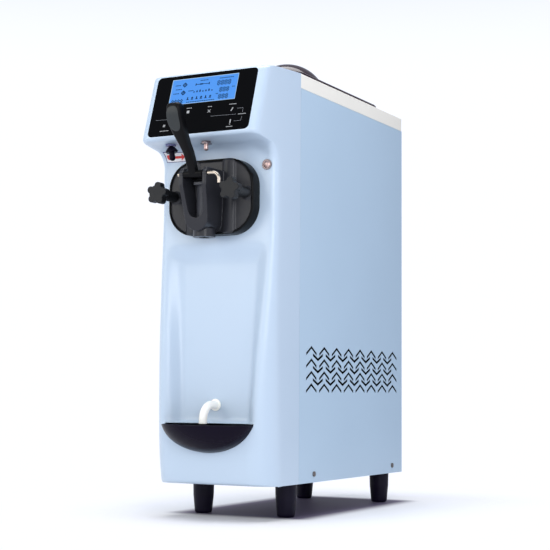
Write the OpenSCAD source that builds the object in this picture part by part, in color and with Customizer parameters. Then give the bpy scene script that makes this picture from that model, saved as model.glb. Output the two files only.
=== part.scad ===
// Table-top soft serve machine with one flavour: a sheet-metal body on four feet, a moulded
// fascia with a leaning control panel, a freezing cylinder closed by a door with a draw valve,
// a hopper under a domed lid, and the cooling and drive units inside.
// Millimetres, +Z up, +X to the right of a person facing the machine, -Y towards that person.
// Modules are written from the seam between fascia and side panels; at_frame() then centres
// the whole machine over the origin.

/* [Body] */
// Width over the side panels
body_w = 212; // [208:1:216]
// Depth from the fascia seam to the outside of the back panel
body_d = 419.5; // [415:0.5:425]
// Height of the feet, where the body starts
foot_h = 54; // [50:1:56]
// Height of the top of the deck
deck_z = 717.5; // [715:0.5:720]
// Height of the pale deck band
deck_band = 24.5; // [22:0.5:26]
// Thickness of the sheet-metal panels
sheet = 1.5; // [1:0.5:1.5]
// Wall of the moulded fascia
fascia_t = 3; // [2.5:0.5:3.5]
// Radius of the fascia's front corners in plan
corner_r = 38; // [34:1:40]

/* [Vents] */
// Rows of upward chevrons in a side panel
vent_rows = 4; // [2:1:4]
// Upward chevrons in a row
vent_cols = 8; // [4:1:8]
// Distance between chevrons along the panel
vent_pitch = 47.6; // [44:0.2:48]
// Distance between rows
vent_row_pitch = 20.2; // [19:0.1:21]
// Width of a slot
vent_slot = 3.5; // [2.5:0.5:3.5]

/* [Control panel] */
// Lean of the panel from upright
panel_lean = 17.7; // [16:0.1:19]
// Width of the black glass
glass_w = 184; // [180:1:186]
// Height of the black glass along the panel
glass_h = 107.3; // [104:0.1:108]
// Width of the display
lcd_w = 122; // [110:1:124]
// Height of the display
lcd_h = 46; // [40:1:48]

/* [Door and draw valve] */
// Height of the freezing cylinder's axis
axis_z = 507; // [505:1:509]
// Width of the door
door_w = 154; // [152:1:156]
// Height of the door
door_h = 120; // [118:1:122]
// Distance of each stud from the middle
stud_x = 65.5; // [65:0.1:65.6]
// Radius of the valve plunger
plunger_r = 12.5; // [12:0.1:12.5]
// How far the middle of the handle's grip stands in front of its pivot
grip_out = 56.8; // [55:0.2:58]
// Swing of the handle from closed to open
handle_swing = 45; // [40:1:46]
// Rise of the plunger over the whole swing
plunger_rise = 12; // [11:0.5:12]
// Height of the grip's top above the pivot
grip_top = 101.5; // [99:0.5:103]

/* [Hopper and tray] */
// Radius of the lid's dome
dome_r = 71; // [68:1:72]
// Height of the drip tray's rim
tray_z = 148.6; // [147:0.2:149]
// Half of the drip tray's width
tray_half = 80; // [78:1:81]

/* [Hidden] */
$fn = 64;

half_w = body_w / 2;
run_gap = 0.05;             // radial clearance of a running fit
seat_gap = 0.3;             // gap between pieces on different bodies
deck_bottom = deck_z - deck_band;
screw_head = 2;
back_y = body_d + screw_head;

// Fascia profile, as distances in front of the seam and heights
door_face = -84;            // flat face round the door
belly_face = -108;          // furthest forward of the lower front
belly_z = 150;
belly_top = 500;            // where the belly has faded into the door face
chin_face = -98;
lip_y = -152.2;             // lower edge of the control panel's frame
lip_z = 597.5;
brow_y = -116.5;            // upper edge of the control panel's frame
brow_z = 709.3;
cove_r = 10;
cove_z = 582;

panel_y = -150.7;           // lower edge of the glass
panel_z = 602.3;
console_y = -121;           // line of the switches under the console
console_z = 594.6;          // underside of the console there

pivot_y = -156.5;
pivot_z = 536.7;
grip_t = 10.3;              // half thickness of the grip
toe_r = plunger_rise / (2 * sin(handle_swing / 2));
toe_y = pivot_y + toe_r * cos(handle_swing / 2);
toe_z = pivot_z - plunger_rise / 2;
front_y = pivot_y - grip_out - grip_t;
frame_y = -(front_y + back_y) / 2;

spout_y = -124;             // axis of the plunger and the nozzle
door_front = -107;
door_back = -84.05;
door_floor = -104;          // face inside the door's raised rim
knob_z = 510;
washer_t = 2;
boss_y = -106;              // face of the stud bosses
slot_half = 17.5;           // half width of the valve housing's slot at its top
cheek_t = 7;                // thickness of the housing on each side of the slot
cap_r = 17.4;               // outside of the nozzle cap
spout_r = 15.4;             // outside of the spout inside the cap
grip_half = 11.7;           // half width of the handle's grip
stem_y = boss_y - washer_t - 0.1;

niche_back = -82;
niche_back_top = -73;
drain_z = 179;
drain_bend = 24;

barrel_r = 50;
barrel_front = -76;
barrel_back = 200;
feed_y = 60;                // axis of the feed tube
drive_z = 385;              // height of the motor's axis
pulley_y = 304;
pulley_w = 14;
big_pulley_r = 42;
small_pulley_r = 20;
belt_t = 3;
shelf_z = 318;
fan_z = 175;
comp_y = 322;
feet_x = 77;
feet_y = [12, 381];

side_screw_y = [53, 373];
side_screw_z = foot_h + 13.6;
back_screw_x = 98;
back_screw_z = [66, 374, 682];
screw_r = 2;
screw_hole_r = 2.1;
button_x = 90;
button_z = 556;
toggle_x = -66;
toggle_z = 596;             // pivot of the toggle, inside its bush
toggle_tilt = 8;
tray_back = -85;
inlet_x = -55;
inlet_z = 105;
coil_pitch = 15;
coil_y = [for (y = [-55 : coil_pitch : 185]) if (abs(y - feed_y) > 18) y];

// ---------- helpers ----------

module at_frame() translate([0, frame_y, 0]) children();

// An outline drawn in X and Z, extruded from y0 back to y1
module along_y(y0, y1) translate([0, y1, 0]) rotate([90, 0, 0]) linear_extrude(y1 - y0) children();

// An outline drawn in Y and Z, extruded along X and centred
module along_x(w) rotate([90, 0, 90]) linear_extrude(w, center = true) children();

module rod_y(r, x, z, y0, y1) along_y(y0, y1) translate([x, z]) circle(r);

module rod_x(r, x0, x1, y, z) translate([x0, y, z]) rotate([0, 90, 0]) cylinder(r = r, h = x1 - x0);

module post(r, x, y, z0, z1) translate([x, y, z0]) cylinder(r = r, h = z1 - z0);

module box(x0, x1, y0, y1, z0, z1) translate([x0, y0, z0]) cube([x1 - x0, y1 - y0, z1 - z0]);

module rounded(w, h, r) {
    square([w - 2 * r, h], center = true);
    square([w, h - 2 * r], center = true);
    for (x = [-1, 1], y = [-1, 1]) translate([x * (w / 2 - r), y * (h / 2 - r)]) circle(r);
}

// A pipe through a list of points, with a brazed ball joint at each corner
module pipe(points, r) {
    for (i = [0 : len(points) - 2]) {
        a = points[i];
        d = points[i + 1] - a;
        translate(a)
            rotate([0, acos(d[2] / norm(d)), atan2(d[1], d[0])])
                cylinder(r = r, h = norm(d), $fn = 24);
        if (i > 0) translate(a) sphere(r + 0.6, $fn = 24);
    }
}

function arc(cx, cy, r, a0, a1, n = 8) =
    [for (i = [0 : n]) [cx + r * cos(a0 + (a1 - a0) * i / n), cy + r * sin(a0 + (a1 - a0) * i / n)]];

// Places children on the leaning control panel: x across, y up the panel, z out of it
module on_panel(x = 0, up = 0) translate([0, panel_y, panel_z])
    rotate([90 - panel_lean, 0, 0]) translate([x, up, 0]) children();

module both_sides() for (s = [-1, 1]) scale([s, 1, 1]) children();

// ---------- body ----------

module base_tray() at_frame() color("silver") {
    wall = 20;
    x = half_w - sheet - 0.1;
    difference() {
        box(-x, x, 1, body_d - sheet - 0.1, foot_h, foot_h + wall);
        box(-x + sheet, x - sheet, 1 + sheet, body_d - 2 * sheet - 0.1, foot_h + sheet, foot_h + wall + 1);
        for (sx = [-1, 1], y = feet_y) post(4.1, sx * feet_x, y, foot_h - 1, foot_h + sheet + 1);
        for (y = side_screw_y) rod_x(screw_hole_r, -half_w, half_w, y, side_screw_z);
        for (s = [-1, 1])
            rod_y(screw_hole_r, s * back_screw_x, back_screw_z[0], body_d - 10, body_d);
    }
}

module frame_posts() at_frame() color("silver") {
    leg = 20;
    x = half_w - 2 * sheet - 0.2;
    for (s = [-1, 1], end = [0, 1]) {
        y0 = end == 0 ? 2.6 : body_d - 2 * sheet - 0.2 - leg;
        flat_y = end == 0 ? y0 : y0 + leg - sheet;
        x0 = s > 0 ? x - leg : -x;
        side_x = s > 0 ? x - sheet : -x;
        box(x0, x0 + leg, flat_y, flat_y + sheet, foot_h + sheet, deck_bottom);
        box(side_x, side_x + sheet, y0, y0 + leg, foot_h + sheet, deck_bottom);
    }
}

module mid_shelf() at_frame() color("silver") difference() {
    x = half_w - 2 * sheet - 0.3;
    box(-x, x, 3, body_d - 4, shelf_z, shelf_z + sheet);
    for (sx = [-1, 1], y = [0, body_d - 25])
        translate([sx * half_w - 25, y, shelf_z - 1]) cube([50, 25, 4]);
    for (sx = [-1, 1]) post(8, sx * 78, 210, shelf_z - 1, shelf_z + 3);
}

// One slot of the vents: a chevron whose point is at the origin
module chevron(half, rise) {
    drop = vent_slot * 1.35;
    polygon([[0, 0], [half, -rise], [half, -rise - drop], [0, -drop], [-half, -rise - drop],
        [-half, -rise]]);
}

module vents() {
    top_z = 275.3;
    for (row = [0 : vent_rows - 1], col = [0 : vent_cols - 1])
        translate([43 + col * vent_pitch, top_z - row * vent_row_pitch])
            chevron(19, 12.5 - vent_slot * 0.3);
    for (row = [0 : vent_rows - 2], col = [0 : vent_cols - 2])
        translate([43 + (col + 0.5) * vent_pitch, top_z - 24.7 - row * vent_row_pitch])
            mirror([0, 1]) chevron(18.5, 8.2);
}

module side_panel() difference() {
    box(half_w - sheet, half_w, 0.4, body_d - sheet, foot_h, deck_bottom);
    translate([half_w, 0, 0]) along_x(10) vents();
    for (y = side_screw_y) rod_x(screw_hole_r, half_w - 5, half_w + 5, y, side_screw_z);
}

module side_panel_left() at_frame() color("lightsteelblue") mirror([1, 0, 0]) side_panel();

module side_panel_right() at_frame() color("lightsteelblue") side_panel();

module back_panel() at_frame() color("lightsteelblue") difference() {
    box(-half_w, half_w, body_d - sheet, body_d, foot_h, deck_bottom);
    for (z = [134, 148, 162, 176, 340, 354, 368, 382, 396, 410])
        translate([0, body_d, z]) cube([130, 10, 5], center = true);
    translate([inlet_x, body_d, inlet_z]) cube([27.4, 10, 20.4], center = true);
    for (s = [-1, 1], z = back_screw_z)
        rod_y(screw_hole_r, s * back_screw_x, z, body_d - 5, body_d + 5);
}

// Distance of the lower front from the seam at height z: a chin, a belly and a long fade
function front_at(z) =
    z < belly_z
        ? belly_face + (chin_face - belly_face) * pow((belly_z - z) / (belly_z - foot_h), 2)
        : z < belly_top
            ? belly_face + (door_face - belly_face)
                * (1 - cos(180 * (z - belly_z) / (belly_top - belly_z))) / 2
            : door_face;

module lower_profile(t) polygon(concat(
    [[5, foot_h + t]],
    [for (i = [0 : 20]) let (z = foot_h + t + (cove_z - foot_h - t) * i / 20) [front_at(z) + t, z]],
    arc(door_face - cove_r, cove_z, cove_r + t, 0, 90, 5),
    [[door_face - cove_r, lip_z + t + 3], [5, lip_z + t + 3]]));

module console_profile(t) {
    slope = t * tan(panel_lean);
    wall = t / cos(panel_lean);
    polygon([[5, console_z - 6 + t], [door_face - cove_r, cove_z + cove_r + t],
        [lip_y + wall + slope, lip_z + t], [brow_y + wall - slope, brow_z - t],
        [0, deck_z - t], [5, deck_z - t]]);
}

// The fascia as a solid whose faces are moved in by t
module fascia_solid(t) {
    w = body_w - 2 * t;
    intersection() {
        along_x(w) lower_profile(t);
        translate([0, 0, foot_h]) linear_extrude(deck_z) {
            translate([-w / 2, -70]) square([w, 75]);
            translate([-w / 2 + corner_r - t, belly_face + t]) square([w - 2 * (corner_r - t), 113 - t]);
            for (s = [-1, 1]) translate([s * (half_w - corner_r), belly_face + corner_r])
                circle(corner_r - t);
        }
    }
    intersection() {
        along_x(w) console_profile(t);
        on_panel(0, glass_h / 2) translate([0, 0, -320])
            linear_extrude(400) rounded(w - 0.4, 400 - 2 * t, 16 - t);
    }
}

// The cup niche as a frustum: wide at the front, smaller at its back wall, narrower at the foot
module niche(grow) {
    top_half = 95;
    foot_half = 79;
    top = 433;
    bevel = 24;
    front = -130;
    function ring(y, inset, lean) = [
        [-foot_half + inset * 0.8, y, tray_z + 1 - grow], [foot_half - inset * 0.8, y, tray_z + 1 - grow],
        [top_half - inset, y + lean, top - inset], [-top_half + inset, y + lean, top - inset]];
    hull() polyhedron(
        concat(ring(front, -grow, 0), ring(belly_face, -grow, 0),
            ring(niche_back + grow, bevel - grow, niche_back_top - niche_back)),
        [for (k = [0, 4], i = [0 : 3]) let (j = (i + 1) % 4) [k + i, k + j, k + j + 4, k + i + 4]]);
}

// Upright half-moon of the drip tray, smaller by t
module tray_front(t) {
    drop = 43.6;
    r = (tray_half * tray_half + drop * drop) / (2 * drop);
    intersection() {
        translate([0, tray_z - drop + r]) circle(r - t, $fn = 128);
        translate([-100, tray_z - 60]) square([200, 60]);
    }
}

// Plan of the drip tray, smaller by t
module tray_plan(t, back) {
    reach = 46;
    r = (tray_half * tray_half + reach * reach) / (2 * reach);
    intersection() {
        translate([0, belly_face - reach + r]) circle(r - t, $fn = 128);
        translate([-tray_half + t, belly_face - reach])
            square([2 * (tray_half - t), back - belly_face + reach]);
    }
}

// Pocket for the tray: its half-moon, larger by grow, open to the floor of the niche
module offset_tray(grow) {
    tray_front(-grow);
    translate([-tray_half + 8, tray_z - 8]) square([2 * tray_half - 16, 9.5]);
}

module front_fascia() at_frame() color("lightsteelblue") difference() {
    union() {
        difference() {
            fascia_solid(0);
            fascia_solid(fascia_t);
        }
        intersection() {
            fascia_solid(1);
            union() {
                niche(fascia_t);
                along_y(-115, niche_back + 2) offset_tray(fascia_t + 0.5);
            }
        }
    }
    box(-half_w - 1, half_w + 1, 0, 10, foot_h - 1, deck_z + 1);
    niche(0);
    along_y(-130, tray_back + 1) offset_tray(0.5);
    along_y(-100, door_face) translate([0, axis_z]) rounded(door_w + 1, door_h + 1, 45.5);
    along_y(-90, -70) translate([0, axis_z]) rounded(door_w - 7, door_h - 8, 41);
    rod_y(6.6, 0, drain_z, -90, -60);
    on_panel(0, glass_h / 2) {
        translate([0, 0, -2.1]) linear_extrude(6) rounded(glass_w + 0.6, glass_h + 0.6, 8);
        translate([0, 0, -12]) linear_extrude(12) rounded(glass_w - 14, glass_h - 12, 4);
    }
    for (x = [toggle_x, 0]) post(6.1, x, console_y, 580, 605);
    rod_y(6.7, button_x, button_z, -90, -70);
}

module top_deck() at_frame() color("white") difference() {
    box(-half_w, half_w, 0, body_d, deck_bottom, deck_z);
    box(-half_w + 3, half_w - 3, 3, body_d - 3, deck_bottom - 1, deck_z - 3);
    translate([0, 180, deck_z - 10]) linear_extrude(20) rounded(166, 310, 21);
}

module feet() at_frame() color([0.08, 0.07, 0.1])
    for (sx = [-1, 1], y = feet_y) translate([sx * feet_x, y, 0]) rotate_extrude()
        polygon(concat([[0, 0]], arc(10.5, 4, 4, 270, 360, 4),
            [[17, 30], [17.6, foot_h], [4.05, foot_h], [4.05, foot_h - 16], [0, foot_h - 16]]));

module foot_bolts() at_frame() color("silver")
    for (sx = [-1, 1], y = feet_y) {
        post(4, sx * feet_x, y, foot_h - 14, foot_h + sheet);
        translate([sx * feet_x, y, foot_h + sheet]) cylinder(r = 7.5, h = 5, $fn = 6);
    }

module panel_screws() at_frame() color("silver") {
    head_r = 4.2;
    for (s = [-1, 1], y = side_screw_y) scale([s, 1, 1]) {
        rod_x(screw_r, half_w - 6, half_w, y, side_screw_z);
        rod_x(head_r, half_w, half_w + screw_head, y, side_screw_z);
    }
    for (s = [-1, 1], z = back_screw_z) {
        rod_y(screw_r, s * back_screw_x, z, body_d - 3, body_d);
        rod_y(head_r, s * back_screw_x, z, body_d, back_y);
    }
}

// ---------- hopper ----------

module hopper() at_frame() color("gainsboro") difference() {
    union() {
        translate([0, 180, 600]) linear_extrude(deck_z - 600) rounded(164, 308, 20);
        translate([0, 178, deck_z]) linear_extrude(1.2) rounded(172, 328, 40);
        post(12.6, 0, feed_y, 590, 601);
    }
    translate([0, 180, 601.2]) linear_extrude(140) rounded(161.6, 305.6, 18.8);
    post(9, 0, feed_y, 589, 602);
    post(11.1, 0, feed_y, 589, 599);
}

module feed_tube() at_frame() color("whitesmoke") difference() {
    union() {
        post(8.95, 0, feed_y, 575, 700);
        post(13, 0, feed_y, 601.3, 606);
    }
    post(6.5, 0, feed_y, 574, 701);
    rod_x(3, 0, 20, feed_y, 612);
}

module hopper_lid() at_frame() color([0.25, 0.16, 0.16, 0.8]) difference() {
    wall = 2.5;
    top = 730;
    union() {
        translate([0, 188, deck_z + seat_gap]) linear_extrude(top - deck_z - seat_gap)
            rounded(182, 368, 45);
        intersection() {
            translate([0, 154, 704]) sphere(dome_r, $fn = 96);
            box(-80, 80, 74, 234, top - 5, 800);
        }
    }
    translate([0, 188, 700]) linear_extrude(top - wall - 700)
        rounded(182 - 2 * wall, 368 - 2 * wall, 45 - wall);
    translate([0, 154, 704]) sphere(dome_r - wall, $fn = 96);
}

// ---------- control panel and switches ----------

module control_glass() at_frame() color([0.03, 0.03, 0.03]) on_panel(0, glass_h / 2) difference() {
    translate([0, 0, -2]) linear_extrude(2) rounded(glass_w, glass_h, 8);
    translate([-2.5, 24, -3]) linear_extrude(6) square([lcd_w, lcd_h], center = true);
}

module lcd_screen() at_frame() color([0.3, 0.63, 0.98]) on_panel(-2.5, glass_h / 2 + 24)
    translate([0, 0, -4]) linear_extrude(3.7) square([lcd_w - 0.2, lcd_h - 0.2], center = true);

module control_board() at_frame() color("darkgreen") on_panel(0, glass_h / 2) {
    translate([0, 0, -12]) linear_extrude(1.6) square([166, 88], center = true);
    for (x = [-70, 70], up = [-36, 36]) translate([x, up, -10.4]) cylinder(r = 3, h = 8.4);
    for (x = [-52, -14, 24, 50]) translate([x, -20, -10.4]) linear_extrude(6) square(14, center = true);
}

module push_button() at_frame() color("silver") {
    rod_y(6, button_x, button_z, -86.8, -70);
    intersection() {
        translate([button_x, -78, button_z]) sphere(10.5);
        rod_y(6, button_x, button_z, -90, -78);
    }
}

module button_ring() at_frame() color("silver") difference() {
    union() {
        rod_y(8.2, button_x, button_z, -86, door_face);
        rod_y(6.65, button_x, button_z, -84.5, -72);
    }
    rod_y(6 + run_gap, button_x, button_z, -90, -71);
}

module plunger_switch_body() at_frame() color("silver") difference() {
    union() {
        post(6, 0, console_y, 590, 614);
        translate([0, console_y, 590.4]) cylinder(r = 8, h = 3.6, $fn = 6);
        post(9, 0, console_y, 589.2, 590.4);
    }
    post(3.8 + run_gap, 0, console_y, 588, 606);
}

module plunger_switch_pin() at_frame() color("silver") {
    post(3.8, 0, console_y, 581.8, 601);
    translate([0, console_y, 582.6]) sphere(3.8);
}

module toggle_bush() at_frame() color("gainsboro") difference() {
    union() {
        post(6, toggle_x, console_y, 591, 612);
        post(8.5, toggle_x, console_y, 591, 593.4);
    }
    post(4.6, toggle_x, console_y, 590, 600);
}

// A lever under a conical cap, turning on a cross pin inside its bush
module toggle_lever() at_frame() color([0.07, 0.06, 0.12])
    translate([toggle_x, console_y, toggle_z]) rotate([0, -toggle_tilt, 0]) {
        translate([0, 0, -13]) cylinder(r1 = 10.2, r2 = 5.5, h = 6);
        translate([0, 0, -16]) cylinder(r1 = 8.8, r2 = 10.2, h = 3);
        translate([0, 0, -25]) cylinder(r1 = 5, r2 = 4.4, h = 10);
        translate([0, 0, -24.2]) sphere(5);
        translate([0, 0, -8]) cylinder(r = 2.6, h = 8);
        rod_y(2.2, 0, 0, -3.6, 3.6);
    }

module label_plate() at_frame() color("white") along_y(door_face - 0.5, door_face)
    translate([-77, 574.5]) rounded(46, 15, 1.5);

// ---------- door, valve and handle ----------

// Front outline of the valve housing and, with less width, of the slot down its middle:
// straight sides above the height low, narrowing to a round foot
module housing_front(r, z, half, low, top) hull() {
    translate([0, z]) circle(r);
    translate([-half, low]) square([2 * half, top - low]);
}

module housing_side() {
    polygon([[door_floor, 440], [-146, 440], [-151, 475], [-162, 520],
        [-162, pivot_z], [pivot_y, 547], [door_floor, 547]]);
    translate([pivot_y, pivot_z]) circle(5.8);
}

module freezer_door() at_frame() color([0.16, 0.17, 0.18]) difference() {
    union() {
        difference() {
            along_y(door_front, door_back) translate([0, axis_z]) rounded(door_w, door_h, 45);
            along_y(door_front - 1, door_floor) translate([0, axis_z])
                rounded(door_w - 6, door_h - 6, 42);
        }
        intersection() {
            both_sides() translate([33, door_floor + 1, 440]) scale([1, 0.55, 1]) cylinder(r = 12, h = 135);
            along_y(-115, door_back) translate([0, axis_z]) rounded(door_w - 4, door_h - 4, 43);
        }
        for (s = [-1, 1]) rod_y(9.4, s * stud_x, knob_z, boss_y, door_floor + 1);
        intersection() {
            along_y(-170, door_floor + 1)
                housing_front(20.5, 469.5, slot_half + cheek_t, 522, 547);
            along_x(60) housing_side();
        }
    }
    difference() {
        post(cap_r + 0.7, 0, spout_y, 430, 454.2);
        post(spout_r, 0, spout_y, 429, 455);
    }
    post(plunger_r + run_gap, 0, spout_y, 430, 560);
    along_y(-170, spout_y) housing_front(13.6, 483, slot_half, 522, 570);
    rod_x(3 + run_gap, -40, 40, pivot_y, pivot_z);
    rod_y(4, 0, 462, spout_y, -80);
    for (s = [-1, 1]) rod_y(5.1, s * stud_x, knob_z, -110, -80);
    along_y(-87.5, -80) translate([0, axis_z]) difference() {
        circle(58);
        circle(54);
    }
}

module door_gasket() at_frame() color([0.6, 0.2, 0.15]) translate([0, -85.75, axis_z])
    rotate([90, 0, 0]) rotate_extrude() translate([56, 0]) circle(1.6, $fn = 24);

module door_studs() at_frame() color("silver")
    for (s = [-1, 1]) rod_y(5, s * stud_x, knob_z, -148, barrel_front);

module star_knob(x) difference() {
    union() {
        along_y(-163, -150) translate([x, knob_z]) {
            circle(13);
            for (i = [0 : 4]) rotate(80 + i * 72) translate([12.3, 0]) circle(5.7);
        }
        translate([x, -139, knob_z]) rotate([90, 0, 0]) cylinder(r1 = 8.6, r2 = 12.5, h = 11);
        rod_y(8.6, x, knob_z, -140, stem_y);
    }
    rod_y(5 + run_gap, x, knob_z, -152, stem_y + 1);
}

module star_knob_left() at_frame() color([0.1, 0.1, 0.11]) star_knob(-stud_x);

module star_knob_right() at_frame() color([0.1, 0.1, 0.11]) star_knob(stud_x);

module knob_washer(x) difference() {
    rod_y(8, x, knob_z, boss_y - washer_t, boss_y - 0.1);
    rod_y(5 + run_gap, x, knob_z, -120, -80);
}

module knob_washer_left() at_frame() color("silver") knob_washer(-stud_x);

module knob_washer_right() at_frame() color("silver") knob_washer(stud_x);

module nozzle_cap() at_frame() color([0.1, 0.1, 0.11]) difference() {
    post(cap_r, 0, spout_y, 441, 454);
    post(spout_r + 0.1, 0, spout_y, 445, 455);
    translate([0, spout_y, 430]) linear_extrude(20)
        polygon([for (i = [0 : 11]) (i % 2 == 0 ? 10.5 : 6.5) * [cos(i * 30), sin(i * 30)]]);
}

module valve_plunger() at_frame() color([0.2, 0.2, 0.21]) difference() {
    union() {
        post(plunger_r, 0, spout_y, 454, 548);
        box(-9, 9, toe_y - 1.5, spout_y, toe_z - 9, toe_z + 9);
    }
    box(-13, 13, -160, toe_y + 5.2, toe_z - 3.9, toe_z + 3.9);
    for (z = [456.2, 467.2]) translate([0, spout_y, z]) difference() {
        cylinder(r = 20, h = 2.4, center = true);
        cylinder(r = plunger_r - 2.2, h = 2.4, center = true);
    }
}

module plunger_orings() at_frame() color([0.5, 0.12, 0.1])
    for (z = [456.2, 467.2]) translate([0, spout_y, z])
        rotate_extrude() translate([plunger_r - 1.1, 0]) circle(1.08, $fn = 24);

// Middle line of the handle from the pivot to the grip's top, with its half thickness:
// an upright start, an arm that leans forward and an upright grip
handle_line = [[0, 0, 5.6], [0.23, 0.26, 7.5], [0.43, 0.4, 8], [0.72, 0.585, 9.5],
    [0.89, 0.71, grip_t], [1, 0.84, grip_t], [1, 1, grip_t]];

function handle_point(i) = [-grip_out * handle_line[i][0], grip_top * handle_line[i][1]];

function handle_half(i) =
    let (along = handle_point(min(i + 1, 6)) - handle_point(max(i - 1, 0)))
        [-along[1], along[0]] / norm(along) * handle_line[i][2];

module draw_handle() at_frame() color([0.12, 0.13, 0.14]) difference() {
    round = 6;
    translate([0, pivot_y, pivot_z]) {
        rod_x(6.4, 0.4 - slot_half, slot_half - 0.4, 0, 0);
        intersection() {
            along_x(40) polygon(concat(
                [for (i = [0 : 6]) handle_point(i) + handle_half(i)],
                [for (i = [6 : -1 : 0]) handle_point(i) - handle_half(i)]));
            along_y(-80, 10) {
                polygon([[-7, -8], [7, -8], [7, 36], [9.7, 58], [grip_half, 70],
                    [grip_half, grip_top - round], [grip_half - round, grip_top],
                    [round - grip_half, grip_top], [-grip_half, grip_top - round],
                    [-grip_half, 70], [-9.7, 58], [-7, 36]]);
                both_sides() translate([grip_half - round, grip_top - round]) circle(round);
            }
        }
        rotate([-handle_swing / 2, 0, 0]) {
            box(-8, 8, 0, toe_r, -2.5, 2.5);
            rod_x(3.4, -8, 8, toe_r, 0);
        }
    }
    rod_x(3 + run_gap, -20, 20, pivot_y, pivot_z);
}

module pivot_pin() at_frame() color("silver") {
    bend = 11;
    rod_x(3, -28.5, 34, pivot_y, pivot_z);
    translate([34, pivot_y, pivot_z - bend]) rotate([90, 0, 0])
        rotate_extrude(angle = 90) translate([bend, 0]) circle(3, $fn = 32);
    post(3, 34 + bend, pivot_y, 520, pivot_z - bend);
}

module drain_elbow() at_frame() color("whitesmoke") {
    end_y = -121;
    difference() {
        union() {
            rod_y(6.5, 0, drain_z, end_y + drain_bend, -62);
            rod_y(9.5, 0, drain_z, niche_back - 2.5, niche_back);
            post(6.5, 0, end_y, tray_z + 1.2, drain_z - drain_bend);
        }
        rod_y(4.5, 0, drain_z, end_y, -61);
        post(4.5, 0, end_y, tray_z, drain_z);
    }
    translate([0, end_y + drain_bend, drain_z - drain_bend]) rotate([0, -90, 0]) rotate([0, 0, 0])
        rotate_extrude(angle = -90) translate([drain_bend, 0]) difference() {
            circle(6.5, $fn = 32);
            circle(4.5, $fn = 32);
        }
}

module drip_tray() at_frame() color([0.1, 0.09, 0.14]) {
    wall = 2.5;
    difference() {
        intersection() {
            along_y(-200, tray_back) tray_front(0);
            translate([0, 0, 90]) linear_extrude(tray_z - 90) tray_plan(0, tray_back);
        }
        intersection() {
            along_y(-200, tray_back - wall) {
                tray_front(wall);
                translate([-tray_half + 6, tray_z - 1]) square([2 * tray_half - 12, 5]);
            }
            translate([0, 0, 90]) linear_extrude(90) tray_plan(wall, tray_back - wall);
        }
    }
}

// ---------- freezing cylinder and drive ----------

module freezing_cylinder() at_frame() color("gainsboro") difference() {
    union() {
        rod_y(barrel_r + 2, 0, axis_z, barrel_front - 7, barrel_back);
        along_y(door_face + 0.3, barrel_front) translate([0, axis_z]) rounded(door_w - 8, door_h - 9, 41);
        post(11, 0, feed_y, axis_z + barrel_r, 598.5);
    }
    rod_y(barrel_r, 0, axis_z, -100, barrel_back - 3);
    rod_y(14, 0, axis_z, 190, 210);
    post(9, 0, feed_y, axis_z, 600);
    for (s = [-1, 1]) rod_y(5 + run_gap, s * stud_x, knob_z, -90, -70);
}

module evaporator_coil() at_frame() color([0.75, 0.45, 0.25]) {
    for (y = coil_y) translate([0, y, axis_z]) rotate([90, 0, 0])
        rotate_extrude() translate([barrel_r + 6.5, 0]) circle(4, $fn = 24);
    for (s = [-1, 1]) rod_y(3.4, 0, axis_z + s * (barrel_r + 6.5), s < 0 ? -55 : 80, 192);
}

module insulation() at_frame() color([0.93, 0.88, 0.72]) difference() {
    box(-81, 81, -60, 205, 425, 589);
    rod_y(barrel_r + 16, 0, axis_z, -70, 215);
    post(13, 0, feed_y, axis_z, 600);
}

module barrel_stand() at_frame() color("silver") {
    box(-60, 60, 30, 153, shelf_z + sheet, shelf_z + 2 * sheet);
    for (y = [30, 151.5]) box(-60, 60, y, y + sheet, shelf_z + sheet, 425);
}

module beater() at_frame() color("whitesmoke") {
    rod_y(7, 0, axis_z, -70, 150);
    for (y = [-62, 38, 138]) translate([0, y, axis_z]) for (s = [-1, 1]) scale([s, 1, s])
        box(0, 46, -4, 4, -5, 5);
    for (s = [-1, 1]) translate([0, 0, axis_z]) scale([s, 1, s]) box(38, 46, -68, 144, -5, 5);
}

module scraper_blades() at_frame() color("ivory") for (s = [-1, 1]) translate([0, 0, axis_z])
    scale([s, 1, s]) intersection() {
        box(46, 50, -68, 144, -3, 3);
        rod_y(barrel_r - seat_gap, 0, 0, -70, 150);
    }

module beater_shaft() at_frame() color("silver") rod_y(8, 0, axis_z, 150, 240);

module shaft_seal() at_frame() color("black") difference() {
    rod_y(13.95, 0, axis_z, 197.2, 207);
    rod_y(8 + run_gap, 0, axis_z, 190, 210);
}

module gearbox() at_frame() color("dimgray") difference() {
    union() {
        box(-42, 42, 214, 296, 462, 552);
        for (s = [-1, 1]) scale([s, 1, 1]) box(42, 58, 225, 285, shelf_z + sheet, 520);
    }
    for (s = [-1, 1]) scale([s, 1, 1]) box(30, 53, 220, 290, shelf_z + 2 * sheet + 1, 455);
    rod_y(8 + run_gap, 0, axis_z, 210, 244);
    rod_y(7 + run_gap, 0, axis_z, 276, 300);
}

module pulley(r, z) {
    rod_y(r, 0, z, pulley_y, pulley_y + pulley_w);
    for (y = [pulley_y, pulley_y + pulley_w - 1.5]) rod_y(r + 5, 0, z, y, y + 1.5);
    rod_y(7, 0, z, 280, pulley_y);
}

module gearbox_pulley() at_frame() color("silver") pulley(big_pulley_r, axis_z);

module drive_motor() at_frame() color([0.25, 0.28, 0.32]) difference() {
    union() {
        rod_y(48, 0, drive_z, 212, 296);
        box(-40, 40, 220, 286, shelf_z + sheet, drive_z - 30);
    }
    rod_y(7 + run_gap, 0, drive_z, 276, 300);
}

module motor_pulley() at_frame() color("silver") pulley(small_pulley_r, drive_z);

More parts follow.
